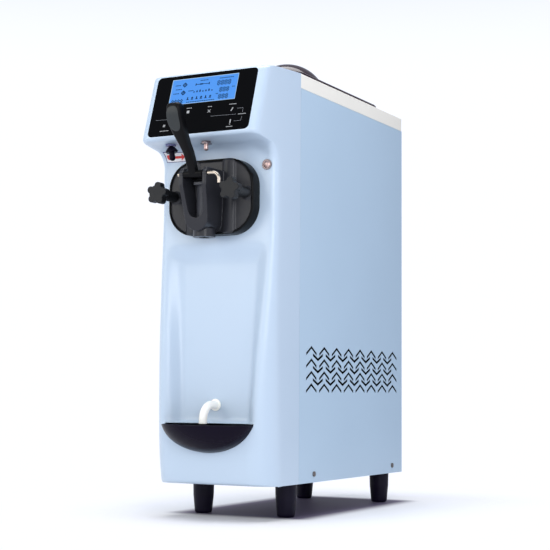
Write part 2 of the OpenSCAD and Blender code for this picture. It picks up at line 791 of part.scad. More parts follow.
// Belt outline round both pulleys: two arcs joined along their outer tangents
module belt_outline(grow) {
    a = asin((big_pulley_r - small_pulley_r) / (axis_z - drive_z));
    polygon(concat(arc(0, axis_z, big_pulley_r + grow, -a, 180 + a, 36),
        arc(0, drive_z, small_pulley_r + grow, 180 + a, 360 - a, 24)));
}

module drive_belt() at_frame() color("black") along_y(pulley_y + 2, pulley_y + pulley_w - 2) difference() {
    belt_outline(seat_gap + belt_t);
    belt_outline(seat_gap);
}

// ---------- cooling unit ----------

module compressor() at_frame() color([0.06, 0.06, 0.07]) {
    translate([0, comp_y, 0]) rotate_extrude() polygon(concat([[0, 72]], arc(38, 92, 20, 270, 360, 6),
        arc(34, 180, 24, 0, 90, 6), [[0, 204]]));
    box(-70, 70, comp_y - 45, comp_y + 45, 69, 72.5);
    box(56, 72, comp_y - 20, comp_y + 20, 110, 150);
}

module compressor_grommets() at_frame() color([0.15, 0.15, 0.15])
    for (sx = [-1, 1], sy = [-1, 1]) post(9, sx * 58, comp_y + sy * 34, foot_h + sheet, 69);

module condenser() at_frame() color("silver") {
    for (i = [0 : 16]) translate([-80 + i * 10, 0, 0]) box(-0.6, 0.6, 36, 66, 78, 290);
    for (row = [0 : 6], col = [0, 1]) rod_x(4, -85, 85, 44 + col * 14, 95 + row * 29);
    for (s = [-1, 1]) scale([s, 1, 1]) box(83, 85, 34, 68, foot_h + sheet, 292);
}

module fan_shroud() at_frame() color([0.1, 0.1, 0.1]) {
    difference() {
        union() {
            box(-80, 80, 69, 71, foot_h + sheet, 255);
            rod_y(77, 0, fan_z, 70, 98);
        }
        rod_y(74, 0, fan_z, 60, 100);
    }
    difference() {
        for (a = [45, 135]) translate([0, 99.5, fan_z]) rotate([0, a, 0])
            cube([10, 3, 153], center = true);
        rod_y(10, 0, fan_z, 60, 110);
    }
}

module fan_motor() at_frame() color([0.3, 0.3, 0.32]) difference() {
    rod_y(26, 0, fan_z, 101, 142);
    rod_y(3 + run_gap, 0, fan_z, 100, 132);
}

module fan() at_frame() color([0.85, 0.85, 0.88]) {
    rod_y(17, 0, fan_z, 78, 94);
    rod_y(3, 0, fan_z, 94, 130);
    intersection() {
        rod_y(70, 0, fan_z, 74, 97);
        for (i = [0 : 4]) translate([0, 86, fan_z]) rotate([0, i * 72, 0])
            rotate([0, 0, 28]) translate([-22, -1, 12]) cube([44, 2, 70]);
    }
}

module filter_drier() at_frame() color([0.75, 0.45, 0.25]) {
    post(9, -84, 200, 128, 190);
    post(4, -84, 200, 118, 200);
}

module refrigerant_pipes() at_frame() color([0.75, 0.45, 0.25]) {
    header_z = axis_z - barrel_r - 6.5;
    suction_z = axis_z + barrel_r + 6.5;
    pipe([[-56, comp_y, 130], [-92, comp_y, 130], [-92, 58, 130], [-84, 58, 130]], 3);
    pipe([[-84, 44, 100], [-93, 44, 100], [-93, 200, 100], [-84, 200, 100], [-84, 200, 120]], 3);
    pipe([[-84, 200, 198], [-84, 200, 240], [-78, 210, 260], [-78, 210, header_z],
        [0, 210, header_z], [0, 190, header_z]], 3);
    pipe([[0, 190, suction_z], [0, 209, suction_z], [78, 210, suction_z], [78, 210, 100],
        [78, 290, 100], [40, 300, 100]], 3);
}

module power_inlet() at_frame() color([0.1, 0.1, 0.1]) difference() {
    union() {
        translate([inlet_x, body_d - 10, inlet_z]) cube([27, 25, 20], center = true);
        translate([inlet_x, body_d + 0.75, inlet_z]) cube([48, 1.5, 28], center = true);
    }
    translate([inlet_x, body_d - 6, inlet_z]) cube([23, 30, 16], center = true);
}

base_tray();
frame_posts();
mid_shelf();
side_panel_left();
side_panel_right();
back_panel();
front_fascia();
top_deck();
hopper();
feed_tube();
hopper_lid();
feet();
foot_bolts();
panel_screws();
control_glass();
lcd_screen();
control_board();
push_button();
button_ring();
plunger_switch_body();
plunger_switch_pin();
toggle_bush();
toggle_lever();
label_plate();
freezer_door();
door_gasket();
door_studs();
star_knob_left();
star_knob_right();
knob_washer_left();
knob_washer_right();
nozzle_cap();
valve_plunger();
plunger_orings();
draw_handle();
pivot_pin();
drain_elbow();
drip_tray();
freezing_cylinder();
evaporator_coil();
insulation();
barrel_stand();
beater();
scraper_blades();
beater_shaft();
shaft_seal();
gearbox();
gearbox_pulley();
drive_motor();
motor_pulley();
drive_belt();
compressor();
compressor_grommets();
condenser();
fan_shroud();
fan_motor();
fan();
filter_drier();
refrigerant_pipes();
power_inlet();
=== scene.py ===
"""Looks of the table-top soft serve machine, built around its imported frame.

Shapes are written in millimetres from the seam between fascia and side panels: X to the
right as seen from the front, Y towards the back, Z up. at() turns them into metres in the
shared frame.
"""

import math

import bmesh
import bpy
from mathutils import Matrix, Vector


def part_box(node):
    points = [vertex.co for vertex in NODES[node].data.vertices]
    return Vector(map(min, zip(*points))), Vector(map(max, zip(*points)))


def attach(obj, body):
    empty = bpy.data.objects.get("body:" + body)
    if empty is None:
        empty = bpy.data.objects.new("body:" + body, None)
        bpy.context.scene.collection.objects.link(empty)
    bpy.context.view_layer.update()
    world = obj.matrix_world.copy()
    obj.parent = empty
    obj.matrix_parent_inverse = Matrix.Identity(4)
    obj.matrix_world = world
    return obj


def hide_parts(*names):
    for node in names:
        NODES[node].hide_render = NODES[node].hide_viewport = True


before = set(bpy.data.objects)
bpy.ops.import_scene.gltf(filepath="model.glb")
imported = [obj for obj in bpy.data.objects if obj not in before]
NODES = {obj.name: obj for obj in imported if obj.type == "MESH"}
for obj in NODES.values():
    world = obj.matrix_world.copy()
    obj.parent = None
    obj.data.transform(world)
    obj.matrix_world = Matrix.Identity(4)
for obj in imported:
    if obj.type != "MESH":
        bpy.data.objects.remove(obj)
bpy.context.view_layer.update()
MM = 0.001
SEAM_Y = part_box("top_deck")[0].y
HALF_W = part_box("top_deck")[1].x / MM
DECK_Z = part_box("top_deck")[1].z / MM
FOOT_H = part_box("front_fascia")[0].z / MM


def at(x, y, z):
    """A point in the shared frame, from millimetres measured from the seam."""
    return Vector((x * MM, SEAM_Y + y * MM, z * MM))


def span(node):
    """Lowest and highest corner of a CAD node, in millimetres from the seam."""
    low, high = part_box(node)
    return [Vector((p.x / MM, (p.y - SEAM_Y) / MM, p.z / MM)) for p in (low, high)]


def ease(t):
    """A smooth step from 0 to 1."""
    t = min(1.0, max(0.0, t))
    return t * t * (3 - 2 * t)


def mix(a, b, t):
    """The value a share t of the way from a to b."""
    return a + (b - a) * t


def new_object(name, data):
    """A new object of the scene with its mesh, lamp or camera."""
    made = bpy.data.objects.new(name, data)
    bpy.context.scene.collection.objects.link(made)
    return made


# ---------- shader steps ----------


def ramp(tree, value, start, end, low=0.0, high=1.0, smooth=False):
    """A value that goes from low to high while another goes from start to end."""
    step = tree.nodes.new("ShaderNodeMapRange")
    if smooth:
        step.interpolation_type = "SMOOTHSTEP"
    for socket, number in (("From Min", start), ("From Max", end), ("To Min", low), ("To Max", high)):
        step.inputs[socket].default_value = number
    tree.links.new(value, step.inputs["Value"])
    return step.outputs["Result"]


def two_tone(tree, share, first, second):
    """A colour between two colours, each of which is a value or another step's output."""
    step = tree.nodes.new("ShaderNodeMix")
    step.data_type = "RGBA"
    tree.links.new(share, step.inputs[0])
    for socket, colour in ((step.inputs[6], first), (step.inputs[7], second)):
        if isinstance(colour, bpy.types.NodeSocket):
            tree.links.new(colour, socket)
        else:
            socket.default_value = colour
    return step.outputs[2]


def coordinates(tree, kind="Object"):
    """Places as a material or the world sees them."""
    return tree.nodes.new("ShaderNodeTexCoord").outputs[kind]


def noise(tree, place, scale, detail):
    """Cloudy noise, with scale in features per metre."""
    step = tree.nodes.new("ShaderNodeTexNoise")
    step.inputs["Scale"].default_value = scale
    step.inputs["Detail"].default_value = detail
    tree.links.new(place, step.inputs["Vector"])
    return step.outputs["Fac"]


# ---------- camera, floor and lights ----------

CAMERA_AT = (1110.9, -1965.7, 202.5)
CAMERA_TURNS = (28.12, 4.79, 0.43)  # azimuth, pitch and roll in degrees
CAMERA_LENS = 90.1


def add_camera():
    """The camera stands in front of the machine, to the right, low, and looks a little upward."""
    azimuth, pitch, roll = (math.radians(a) for a in CAMERA_TURNS)
    forward = Vector((-math.sin(azimuth) * math.cos(pitch), math.cos(azimuth) * math.cos(pitch),
                      math.sin(pitch)))
    level = Vector((math.cos(azimuth), math.sin(azimuth), 0))
    above = level.cross(forward)
    right = level * math.cos(roll) + above * math.sin(roll)
    up = above * math.cos(roll) - level * math.sin(roll)
    data = bpy.data.cameras.new("camera")
    data.lens = CAMERA_LENS
    data.clip_end = 60
    camera = new_object("camera", data)
    turned = Matrix((right, up, -forward)).transposed().to_4x4()
    camera.matrix_world = Matrix.Translation(at(*CAMERA_AT)) @ turned
    bpy.context.scene.camera = camera


def add_softbox(name, place, aim, size, power, colour=(1, 1, 1)):
    """A rectangular lamp of so many watts, which the camera doesn't see; in metres."""
    data = bpy.data.lights.new(name, "AREA")
    data.shape = "RECTANGLE"
    data.size, data.size_y = size
    data.energy = power
    data.color = colour
    lamp = new_object(name, data)
    lamp.location = place
    lamp.visible_camera = False
    lamp.rotation_euler = (Vector(aim) - Vector(place)).to_track_quat("-Z", "Y").to_euler()


WARM = (1.0, 0.95, 0.82)
HAZE = (1.0, 1.03, 1.13, 1)  # white to the camera, a little blue to what it lights
SKY_BLUE = (0.72, 0.82, 1.0, 1)
SKY_RISE = (0.22, 0.5)  # the haze thins out between these sines of the angle above the floor
SKY_STRENGTH = 0.4  # what is left of the haze's strength above them
# The paper's white, and the colour of the shadow painted on it under the machine
PAPER_WHITE, PAPER_PAINTED_SHADOW = (0.93, 0.93, 0.95, 1), (0.05, 0.028, 0.105, 1)


def add_studio():
    """White surroundings near the horizon, dimmer and bluer above, four softboxes and a card."""
    world = bpy.data.worlds.new("studio")
    bpy.context.scene.world = world
    world.use_nodes = True
    tree = world.node_tree
    split = tree.nodes.new("ShaderNodeSeparateXYZ")
    tree.links.new(coordinates(tree, "Generated"), split.inputs[0])
    haze = ramp(tree, split.outputs["Z"], *SKY_RISE, 1.0, SKY_STRENGTH, smooth=True)
    background = tree.nodes["Background"]
    tree.links.new(haze, background.inputs["Strength"])
    tree.links.new(two_tone(tree, haze, SKY_BLUE, HAZE), background.inputs["Color"])
    add_softbox("key", (-1.7, -2.7, 1.7), (0, -0.2, 0.35), (1.6, 1.8), 21, WARM)
    add_softbox("front", (0.3, -3.0, 1.0), (0, 0, 0.4), (1.2, 1.6), 4, WARM)
    add_softbox("side", (1.5, -1.9, 1.1), (0.1, -0.1, 0.4), (0.8, 1.2), 15)
    add_softbox("top", (0.1, 0.1, 2.6), (0, 0.1, 0), (2.2, 2.2), 58)
    add_card("side_card", 0.52, 0.55, 2.8, 1.8)


def add_sheet(name, corners):
    """A flat sheet of the studio, which is no part of the machine."""
    mesh = bpy.data.meshes.new(name)
    mesh.from_pydata(corners, [], [(0, 1, 2, 3)])
    sheet = new_object(name, mesh)
    return sheet


def add_card(name, x, y0, y1, height):
    """A dark card standing beside the machine, which keeps light off its right side."""
    card = add_sheet(name, [(x, y0, 0), (x, y1, 0), (x, y1, height), (x, y0, height)])
    card.visible_camera = False
    card.data.materials.append(look("card_grey", (46, 50, 66), 0.9))


def add_floor():
    """A pale floor with a painted shadow under the machine, that fades into the white surroundings."""
    reach = 9.0
    floor = add_sheet("floor", [(-reach, -reach, 0), (reach, -reach, 0), (reach, reach, 0),
                                (-reach, reach, 0)])
    paper = bpy.data.materials.new("floor_paper")
    paper.use_nodes = True
    tree = paper.node_tree
    nodes, links = tree.nodes, tree.links
    surface = nodes["Principled BSDF"]
    surface.inputs["Roughness"].default_value = 0.6
    surface.inputs["Specular IOR Level"].default_value = 0.1
    glow = nodes.new("ShaderNodeEmission")
    glow.inputs["Color"].default_value = HAZE
    # The distance outside the machine's base, from above
    low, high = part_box("base_tray")
    middle, half = (low + high) / 2, (high - low) / 2
    distance = coordinates(tree)
    for operation, value in (("SUBTRACT", (middle.x, middle.y, 0)), ("ABSOLUTE", (0, 0, 0)),
                             ("SUBTRACT", (half.x, half.y, 1)), ("MAXIMUM", (0, 0, 0)),
                             ("LENGTH", (0, 0, 0))):
        step = nodes.new("ShaderNodeVectorMath")
        step.operation = operation
        links.new(distance, step.inputs[0])
        step.inputs[1].default_value = value
        distance = step.outputs["Value" if operation == "LENGTH" else "Vector"]
    # Painted shadow: the paper is dark under the machine's base and turns white just outside it
    past_painted_shadow = ramp(tree, distance, -0.01, 0.04, smooth=True)
    glow_share = ramp(tree, distance, 0.05, 0.32, smooth=True)
    links.new(two_tone(tree, past_painted_shadow, PAPER_PAINTED_SHADOW, PAPER_WHITE), surface.inputs["Base Color"])
    fade = nodes.new("ShaderNodeMixShader")
    links.new(glow_share, fade.inputs["Fac"])
    links.new(surface.outputs[0], fade.inputs[1])
    links.new(glow.outputs[0], fade.inputs[2])
    links.new(fade.outputs[0], nodes["Material Output"].inputs["Surface"])
    floor.data.materials.append(paper)


# ---------- materials ----------


def linear(srgb):
    """0 to 255 sRGB values as linear colour, by the formula of the sRGB standard."""
    return tuple(c / 12.92 if c <= 0.04045 else ((c + 0.055) / 1.055) ** 2.4
                 for c in (v / 255 for v in srgb))


def look(name, srgb, rough, mottle=0.05, patch=25.0, grain=0.00002, grain_scale=500.0,
         stretch=(1, 1, 1), rough_swing=0.08, **sockets):
    """A node material: a colour with faint patches, a surface grain and uneven gloss.

    patch and grain_scale are features per metre, grain is the grain's height in metres.
    """
    made = bpy.data.materials.new(name)
    made.use_nodes = True
    tree = made.node_tree
    nodes, links = tree.nodes, tree.links
    surface = nodes["Principled BSDF"]
    for socket, value in sockets.items():
        surface.inputs[socket.replace("_", " ")].default_value = value
    place = nodes.new("ShaderNodeMapping")
    place.inputs["Scale"].default_value = stretch
    links.new(coordinates(tree), place.inputs["Vector"])

    patches = noise(tree, place.outputs[0], patch, 4)
    base = linear(srgb)
    dark = (*(c * (1 - mottle) for c in base), 1)
    light = (*(min(1, c * (1 + mottle)) for c in base), 1)
    links.new(two_tone(tree, patches, dark, light), surface.inputs["Base Color"])
    gloss = ramp(tree, patches, 0, 1, max(0.02, rough - rough_swing), rough + rough_swing)
    links.new(gloss, surface.inputs["Roughness"])

    bump = nodes.new("ShaderNodeBump")
    bump.inputs["Distance"].default_value = grain
    links.new(noise(tree, place.outputs[0], grain_scale, 2), bump.inputs["Height"])
    links.new(bump.outputs[0], surface.inputs["Normal"])
    return made


def cells(made, scale, dark, light):
    """Gives a material the crystal pattern of zinc, or the cells of foam, in two colours."""
    tree = made.node_tree
    pattern = tree.nodes.new("ShaderNodeTexVoronoi")
    pattern.inputs["Scale"].default_value = scale
    tree.links.new(coordinates(tree), pattern.inputs["Vector"])
    colour = two_tone(tree, pattern.outputs["Color"], (*linear(dark), 1), (*linear(light), 1))
    tree.links.new(colour, tree.nodes["Principled BSDF"].inputs["Base Color"])
    return made


def paint_shade_within(made, depth=0.0005):
    """Paints shade on what lies under a panel's painted face: its slot walls and its inside turn near
    black.
    """
    tree = made.node_tree
    base = tree.nodes["Principled BSDF"].inputs["Base Color"]
    face_colour = base.links[0].from_socket
    split = tree.nodes.new("ShaderNodeSeparateXYZ")
    tree.links.new(coordinates(tree), split.inputs[0])
    aside = tree.nodes.new("ShaderNodeMath")
    aside.operation = "ABSOLUTE"
    tree.links.new(split.outputs["X"], aside.inputs[0])
    outer = tree.nodes.new("ShaderNodeMath")
    outer.operation = "MAXIMUM"
    for i, (distance, face) in enumerate((
            (aside.outputs[0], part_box("side_panel_right")[1].x),
            (split.outputs["Y"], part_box("back_panel")[1].y))):
        tree.links.new(ramp(tree, distance, face - depth, face - depth * 0.2), outer.inputs[i])
    # Painted shade: near black under the face, the panel's own colour on it
    tree.links.new(two_tone(tree, outer.outputs[0], (0.006, 0.008, 0.014, 1), face_colour), base)
    return made


def make_materials():
    """Every finish of the machine, by name."""
    plastic = {"Coat_Weight": 0.25, "Coat_Roughness": 0.18}
    metal = {"Metallic": 1.0}
    dull = {"Specular_IOR_Level": 0.3}
    dark = {"Specular_IOR_Level": 0.12}
    made = {}

    def add(name, *settings, **sockets):
        made[name] = look(name, *settings, **sockets)

    add("shell_blue", (187, 205, 223), 0.3, 0.012, 6, 0.000012, 260, **plastic)
    add("panel_blue", (176, 199, 219), 0.36, 0.015, 8, 0.00002, 700, Coat_Weight=0.15,
        Coat_Roughness=0.25)
    # Painted shade in the panels' vent slots and on their inside
    paint_shade_within(made["panel_blue"])
    add("deck_white", (242, 239, 230), 0.32, 0.01, 10, 0.00001, 400, **plastic)
    add("galvanised", (168, 172, 176), 0.42, grain=0.00001, **metal)
    cells(made["galvanised"], 90, (150, 154, 160), (196, 198, 202))
    add("stainless", (196, 198, 202), 0.26, 0.06, 60, 0.00001, 300, (1, 1, 14), **metal)
    add("bright_steel", (222, 218, 214), 0.16, 0.05, 120, 0.000005, 600, **metal)
    add("door_black", (40, 41, 46), 0.3, 0.08, 40, 0.00002, 900, rough_swing=0.05, **dull)
    add("knob_black", (20, 22, 25), 0.44, 0.12, 60, 0.00003, 1100, **dull)
    add("foot_black", (11, 6, 28), 0.42, 0.15, 60, 0.00003, 900, Specular_IOR_Level=0.15)
    add("tray_black", (12, 6, 24), 0.24, 0.1, 30, 0.000008, 300, Specular_IOR_Level=0.1)
    add("panel_glass", (3, 3, 4), 0.08, 0.3, 40, 0.000002, 200, rough_swing=0.03, **dark)
    add("smoked", (44, 24, 34), 0.1, 0.1, 20, 0.000004, 150, rough_swing=0.04,
        Transmission_Weight=0.2, IOR=1.45)
    # The drain pipe's faint warm glow is painted light that lifts it out of the niche's shade
    add("pipe_white", (236, 236, 232), 0.34, 0.02, 60, 0.00001, 500, Subsurface_Weight=0.08,
        Emission_Color=(1.0, 0.93, 0.78, 1), Emission_Strength=0.16)
    add("food_white", (232, 233, 230), 0.38, 0.02, 60, 0.00001, 500)
    add("seal_red", (150, 58, 40), 0.5, 0.12, 90, 0.00002, 800)
    add("rubber_black", (26, 26, 28), 0.62, 0.15, 90, 0.00004, 900)
    add("copper", (196, 126, 84), 0.3, 0.18, 70, 0.00001, 500, **metal)
    add("foam", (226, 210, 160), 0.85, grain=0.0008, grain_scale=260)
    cells(made["foam"], 420, (214, 196, 142), (240, 228, 184))
    add("board_green", (18, 84, 48), 0.4, 0.2, 200, 0.00003, 900, **plastic)
    add("cast_grey", (112, 115, 118), 0.6, 0.12, 90, 0.00012, 700)
    add("compressor_black", (22, 22, 24), 0.34, 0.15, 30, 0.00003, 300, **plastic)
    add("aluminium", (186, 188, 190), 0.38, 0.06, 60, 0.00001, 400, (1, 10, 1), **metal)
    add("fan_plastic", (206, 206, 200), 0.46, 0.04, 60, 0.00002, 700)
    add("label_white", (238, 238, 240), 0.4, 0.02, 60, 0.00001, 400)
    add("lcd_ink", (2, 8, 26), 0.6, 0.1, 300, Specular_IOR_Level=0.05)
    add("pad_grey", (46, 50, 51), 0.4, 0.06, 60, 0.00001, 700, rough_swing=0.04, **dull)
    add("grip_black", (7, 7, 9), 0.36, 0.12, 40, 0.00002, 900, rough_swing=0.05, **dark)
    add("edge_black", (4, 5, 6), 0.24, 0.1, 40, 0.000008, 500, rough_swing=0.04, **dark)
    # Near black sheets behind the vents, as painted shade
    add("shade_black", (4, 5, 8), 0.9, 0.3, 600, 0.0002, 1500, Specular_IOR_Level=0.05)
    add("plunger_grey", (74, 76, 82), 0.36, 0.08, 60, 0.00002, 900, **dull)
    add("screw_steel", (128, 120, 116), 0.34, 0.3, 300, 0.00002, 900, **metal)
    add("lilac", (104, 104, 146), 0.4, 0.06, 60, 0.00001, 500)
    add("rose_steel", (206, 178, 172), 0.4, 0.1, 90, 0.00001, 500, **metal)
    add("pin_steel", (186, 176, 164), 0.2, 0.1, 90, 0.00001, 500, **metal)
    add("dark_steel", (110, 102, 106), 0.24, 0.1, 90, 0.00001, 500, **metal)
    add("print_grey", (120, 124, 130), 0.5, 0.1, 300)
    add("print_red", (214, 46, 40), 0.45, 0.08, 300)
    add("print_blue", (60, 58, 120), 0.45, 0.08, 300)
    for name, srgb, strength in (("lcd_blue", (66, 150, 246), 0.9), ("lcd_edge", (190, 226, 255), 0.9),
                                 ("print_white", (236, 238, 240), 0.55)):
        made[name] = lit(name, srgb, strength)
    return made


def lit(name, srgb, strength):
    """A faintly glowing finish, uneven as a backlight is."""
    made = look(name, srgb, 0.3, 0.05, 30, 0.000004, 300)
    surface = made.node_tree.nodes["Principled BSDF"]
    surface.inputs["Emission Strength"].default_value = strength
    base, links = surface.inputs["Base Color"], made.node_tree.links
    links.new(base.links[0].from_socket, surface.inputs["Emission Color"])
    links.remove(base.links[0])
    base.default_value = (0.01, 0.02, 0.04, 1)
    return made


# ---------- mesh tools ----------


def mesh_of(name, points, faces):
    """A mesh from points in millimetres: welded, with outward faces and smooth shading."""
    mesh = bpy.data.meshes.new(name)
    mesh.from_pydata([at(*p) for p in points], [], faces)
    bm = bmesh.new()
    bm.from_mesh(mesh)
    bmesh.ops.remove_doubles(bm, verts=bm.verts, dist=0.01 * MM)
    bmesh.ops.recalc_face_normals(bm, faces=bm.faces)
    bm.to_mesh(mesh)
    bm.free()
    shade(mesh, 38)
    return mesh


def shade(mesh, degrees):
    """Smooth shading, with edges sharper than an angle kept sharp."""
    mesh.shade_smooth()
    mesh.set_sharp_from_angle(angle=math.radians(degrees))


def add_piece(name, mesh, body, finish, hides=()):
    """Places a mesh as a piece that rides on a body and stands for CAD nodes."""
    piece = new_object(name, mesh)
    mesh.materials.append(MATERIALS[finish])
    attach(piece, body)
    if hides:
        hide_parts(*hides)
    return piece


def settle(piece):
    """Replaces a piece's mesh by the result of its modifiers."""
    graph = bpy.context.evaluated_depsgraph_get()
    graph.update()
    made = bpy.data.meshes.new_from_object(piece.evaluated_get(graph))
    piece.modifiers.clear()
    piece.data = made


def skin(rings, closed=True, capped=True):
    """Points and faces of a surface through rings with equally many points."""
    count = len(rings[0])
    points = [p for ring in rings for p in ring]
    steps = count if closed else count - 1
    faces = [
        (k * count + i, k * count + (i + 1) % count,
         (k + 1) * count + (i + 1) % count, (k + 1) * count + i)
        for k in range(len(rings) - 1)
        for i in range(steps)
    ]
    if capped:
        faces.append(tuple(range(count)))
        faces.append(tuple(range(len(points) - count, len(points))))
    return points, faces


def prism(outline, y0, y1):
    """Points and faces of an X-Z outline extruded from y0 to y1."""
    return skin([[(x, y, z) for x, z in outline] for y in (y0, y1)])


def rounded_outline(width, height, radius, x=0.0, z=0.0, steps=10):
    """Corner arcs of a rounded rectangle, anticlockwise."""
    outline = []
    for sx, sz, start in ((1, 1, 0), (-1, 1, 90), (-1, -1, 180), (1, -1, 270)):
        for i in range(steps + 1):
            angle = math.radians(start + 90 * i / steps)
            outline.append((x + sx * (width / 2 - radius) + radius * math.cos(angle),
                            z + sz * (height / 2 - radius) + radius * math.sin(angle)))
    return outline


def circle_outline(radius, x, z, steps=48):
    """Points of a circle, anticlockwise."""
    turn = 2 * math.pi / steps
    return [(x + radius * math.cos(turn * i), z + radius * math.sin(turn * i)) for i in range(steps)]


def joined(parts):
    """Several (points, faces) solids as one."""
    points, faces = [], []
    for part_points, part_faces in parts:
        faces += [tuple(i + len(points) for i in face) for face in part_faces]
        points += part_points
    return points, faces


def post_of(radius, x, y, z0, z1):
    """Points and faces of an upright round post."""
    return skin([[(px, py, z) for px, py in circle_outline(radius, x, y, 40)] for z in (z0, z1)])


def carve(piece, cutter):
    """Cuts a (points, faces) solid out of a piece."""
    tool = new_object("cutter", mesh_of("cutter", *cutter))
    step = piece.modifiers.new("carve", "BOOLEAN")
    step.operation = "DIFFERENCE"
    step.solver = "EXACT"
    step.use_self = False
    step.object = tool
    settle(piece)
    bpy.data.objects.remove(tool)


def soften(node, width):
    """Rounds the sharp edges of a CAD node with modifiers."""
    piece = NODES[node]
    weld = piece.modifiers.new("weld", "WELD")
    weld.merge_threshold = 0.005 * MM
    bevel = piece.modifiers.new("edges", "BEVEL")
    bevel.width = width * MM
    bevel.segments = 3
    bevel.limit_method = "ANGLE"
    bevel.angle_limit = math.radians(32)
    bevel.use_clamp_overlap = True
    even = piece.modifiers.new("shading", "WEIGHTED_NORMAL")
    even.keep_sharp = False


def mould(node, voxel, passes, finish):
    """Blends a CAD node's edges as moulded plastic, with a fine remesh and smoothing."""
    piece = NODES[node]
    skin_step = piece.modifiers.new("skin", "REMESH")
    skin_step.mode = "VOXEL"
    skin_step.voxel_size = voxel * MM
    skin_step.use_smooth_shade = True
    relax = piece.modifiers.new("relax", "SMOOTH")
    relax.factor = 0.5
    relax.iterations = passes
    paint(node, finish)


def paint(node, finish):
    """Gives a CAD node its finish, whose material bears the finish's name."""
    piece = NODES[node]
    piece.data.materials.clear()
    piece.data.materials.append(MATERIALS[finish])


# ---------- shapes on the control panel ----------

# The lower edge of the glass as (y, z), how far it leans back, its width and height, and the
# left, lower, right and upper edges of the display behind it
PANEL_FOOT = (-150.7, 602.3)
PANEL_LEAN = math.radians(17.7)
GLASS = (184.0, 107.3)
LCD = (-63.5, 54.65, 58.5, 100.65)
ON_SCREEN = -0.28  # the display's face, counted outward from the face of the glass


def on_panel(x, up, out):
    """A point of the leaning panel: right of its middle, up its slope and out of its face."""
    return (x, PANEL_FOOT[0] + up * math.sin(PANEL_LEAN) - out * math.cos(PANEL_LEAN),
            PANEL_FOOT[1] + up * math.cos(PANEL_LEAN) + out * math.sin(PANEL_LEAN))


def panel_slab(outline, out0, out1):
    """Points and faces of an outline on the panel, extruded along the panel's normal."""
    return skin([[on_panel(x, up, out) for x, up in outline] for out in (out0, out1)])


def add_print(name, lines, out0, out1, finish):
    """A piece of thin printed lines on the panel."""
    solids = [panel_slab(line, out0, out1) for line in lines]
    add_piece(name, mesh_of(name, *joined(solids)), "chassis", finish)


def stroke(x0, up0, x1, up1, width):
    """Outline of a straight line with cut ends."""
    along = Vector((x1 - x0, up1 - up0)).normalized() * width / 2
    side = Vector((-along.y, along.x))
    return [(x0 + side.x, up0 + side.y), (x0 - side.x, up0 - side.y),
            (x1 - side.x, up1 - side.y), (x1 + side.x, up1 + side.y)]


def ring_of(x, up, radius, width, steps=12):
    """Outlines that make a ring out of short straight lines."""
    spots = circle_outline(radius, x, up, steps)
    return [stroke(*spots[i], *spots[(i + 1) % steps], width) for i in range(steps)]


def digit(x, up, height, width=1.5):
    """Outlines of one seven-segment numeral, all on, with its lower left corner at x, up."""
    wide = half = height / 2
    gap = width / 2
    bars = [(gap, level, wide - gap, level) for level in (height, 0, half)]
    bars += [(aside, low + gap, aside, low + half - gap)
             for aside, low in ((wide, half), (wide, 0), (0, half), (0, 0))]
    return [stroke(x + x0, up + u0, x + x1, up + u1, width) for x0, u0, x1, u1 in bars]


def numerals(x, up, height, count):
    """A row of seven-segment numerals."""
    return [line for i in range(count) for line in digit(x + i * height * 0.86, up, height)]


def dashes(x, up, width, count, thick=1.3):
    """A short row of dashes where a caption stands."""
    pitch = width / count
    return [stroke(x + i * pitch, up, x + (i + 0.7) * pitch, up, thick) for i in range(count)]


def lcd_drawing():
    """Everything drawn on the display: numerals, rings, a level line and small symbols."""
    left, low, right, high = LCD
    drawing = []

    def spot(u, v):
        """A point of the display by its shares of the way right and down."""
        return left + u * (right - left), high - v * (high - low)

    for u, v, count, height in ((0.7, 0.38, 4, 7.6), (0.75, 0.65, 3, 7.2), (0.75, 0.92, 3, 7.2),
                                (0.04, 0.95, 4, 6.4)):
        drawing += numerals(*spot(u, v), height, count)
    for u, v in ((0.2, 0.24), (0.195, 0.55)):
        x, up = spot(u, v)
        drawing += ring_of(x, up, 3.0, 1.2)
        drawing += [stroke(x - 4.4, up, x + 4.4, up, 1.0), stroke(x, up - 4.4, x, up + 4.4, 1.0)]
    for u, v, width, count in ((0.055, 0.24, 10, 4), (0.07, 0.4, 12, 4), (0.045, 0.56, 11, 4),
                               (0.43, 0.13, 15, 5), (0.72, 0.12, 26, 8), (0.27, 0.5, 10, 4),
                               (0.93, 0.5, 5, 2), (0.7, 0.72, 5, 2), (0.27, 0.94, 52, 16)):
        drawing += dashes(*spot(u, v), width, count)
    x0, up = spot(0.37, 0.27)
    x1 = spot(0.57, 0.27)[0]
    drawing += [stroke(x0, up, x1, up, 0.9), stroke(x0, up - 2, x0, up + 2, 1.4),
                stroke(x1, up - 2, x1, up + 2, 1.4), stroke(x0 + 7, up, x0 + 13, up, 2.0)]
    for i in range(7):
        x, up = spot(0.36 + i * 0.045, 0.58)
        drawing.append(stroke(x, up, x, up + 2.0 + 1.0 * (i % 3), 2.2))
    for i in range(6):
        x, up = spot(0.28 + i * 0.068, 0.8)
        drawing += [stroke(x - 2.2, up - 1.8, x + 2.2, up - 1.8, 1.0),
                    stroke(x, up - 1.6, x, up + 2.6, 1.7)]
        if i % 2:
            drawing.append(stroke(x - 2.0, up + 0.8, x + 2.0, up + 0.8, 1.0))
    return drawing


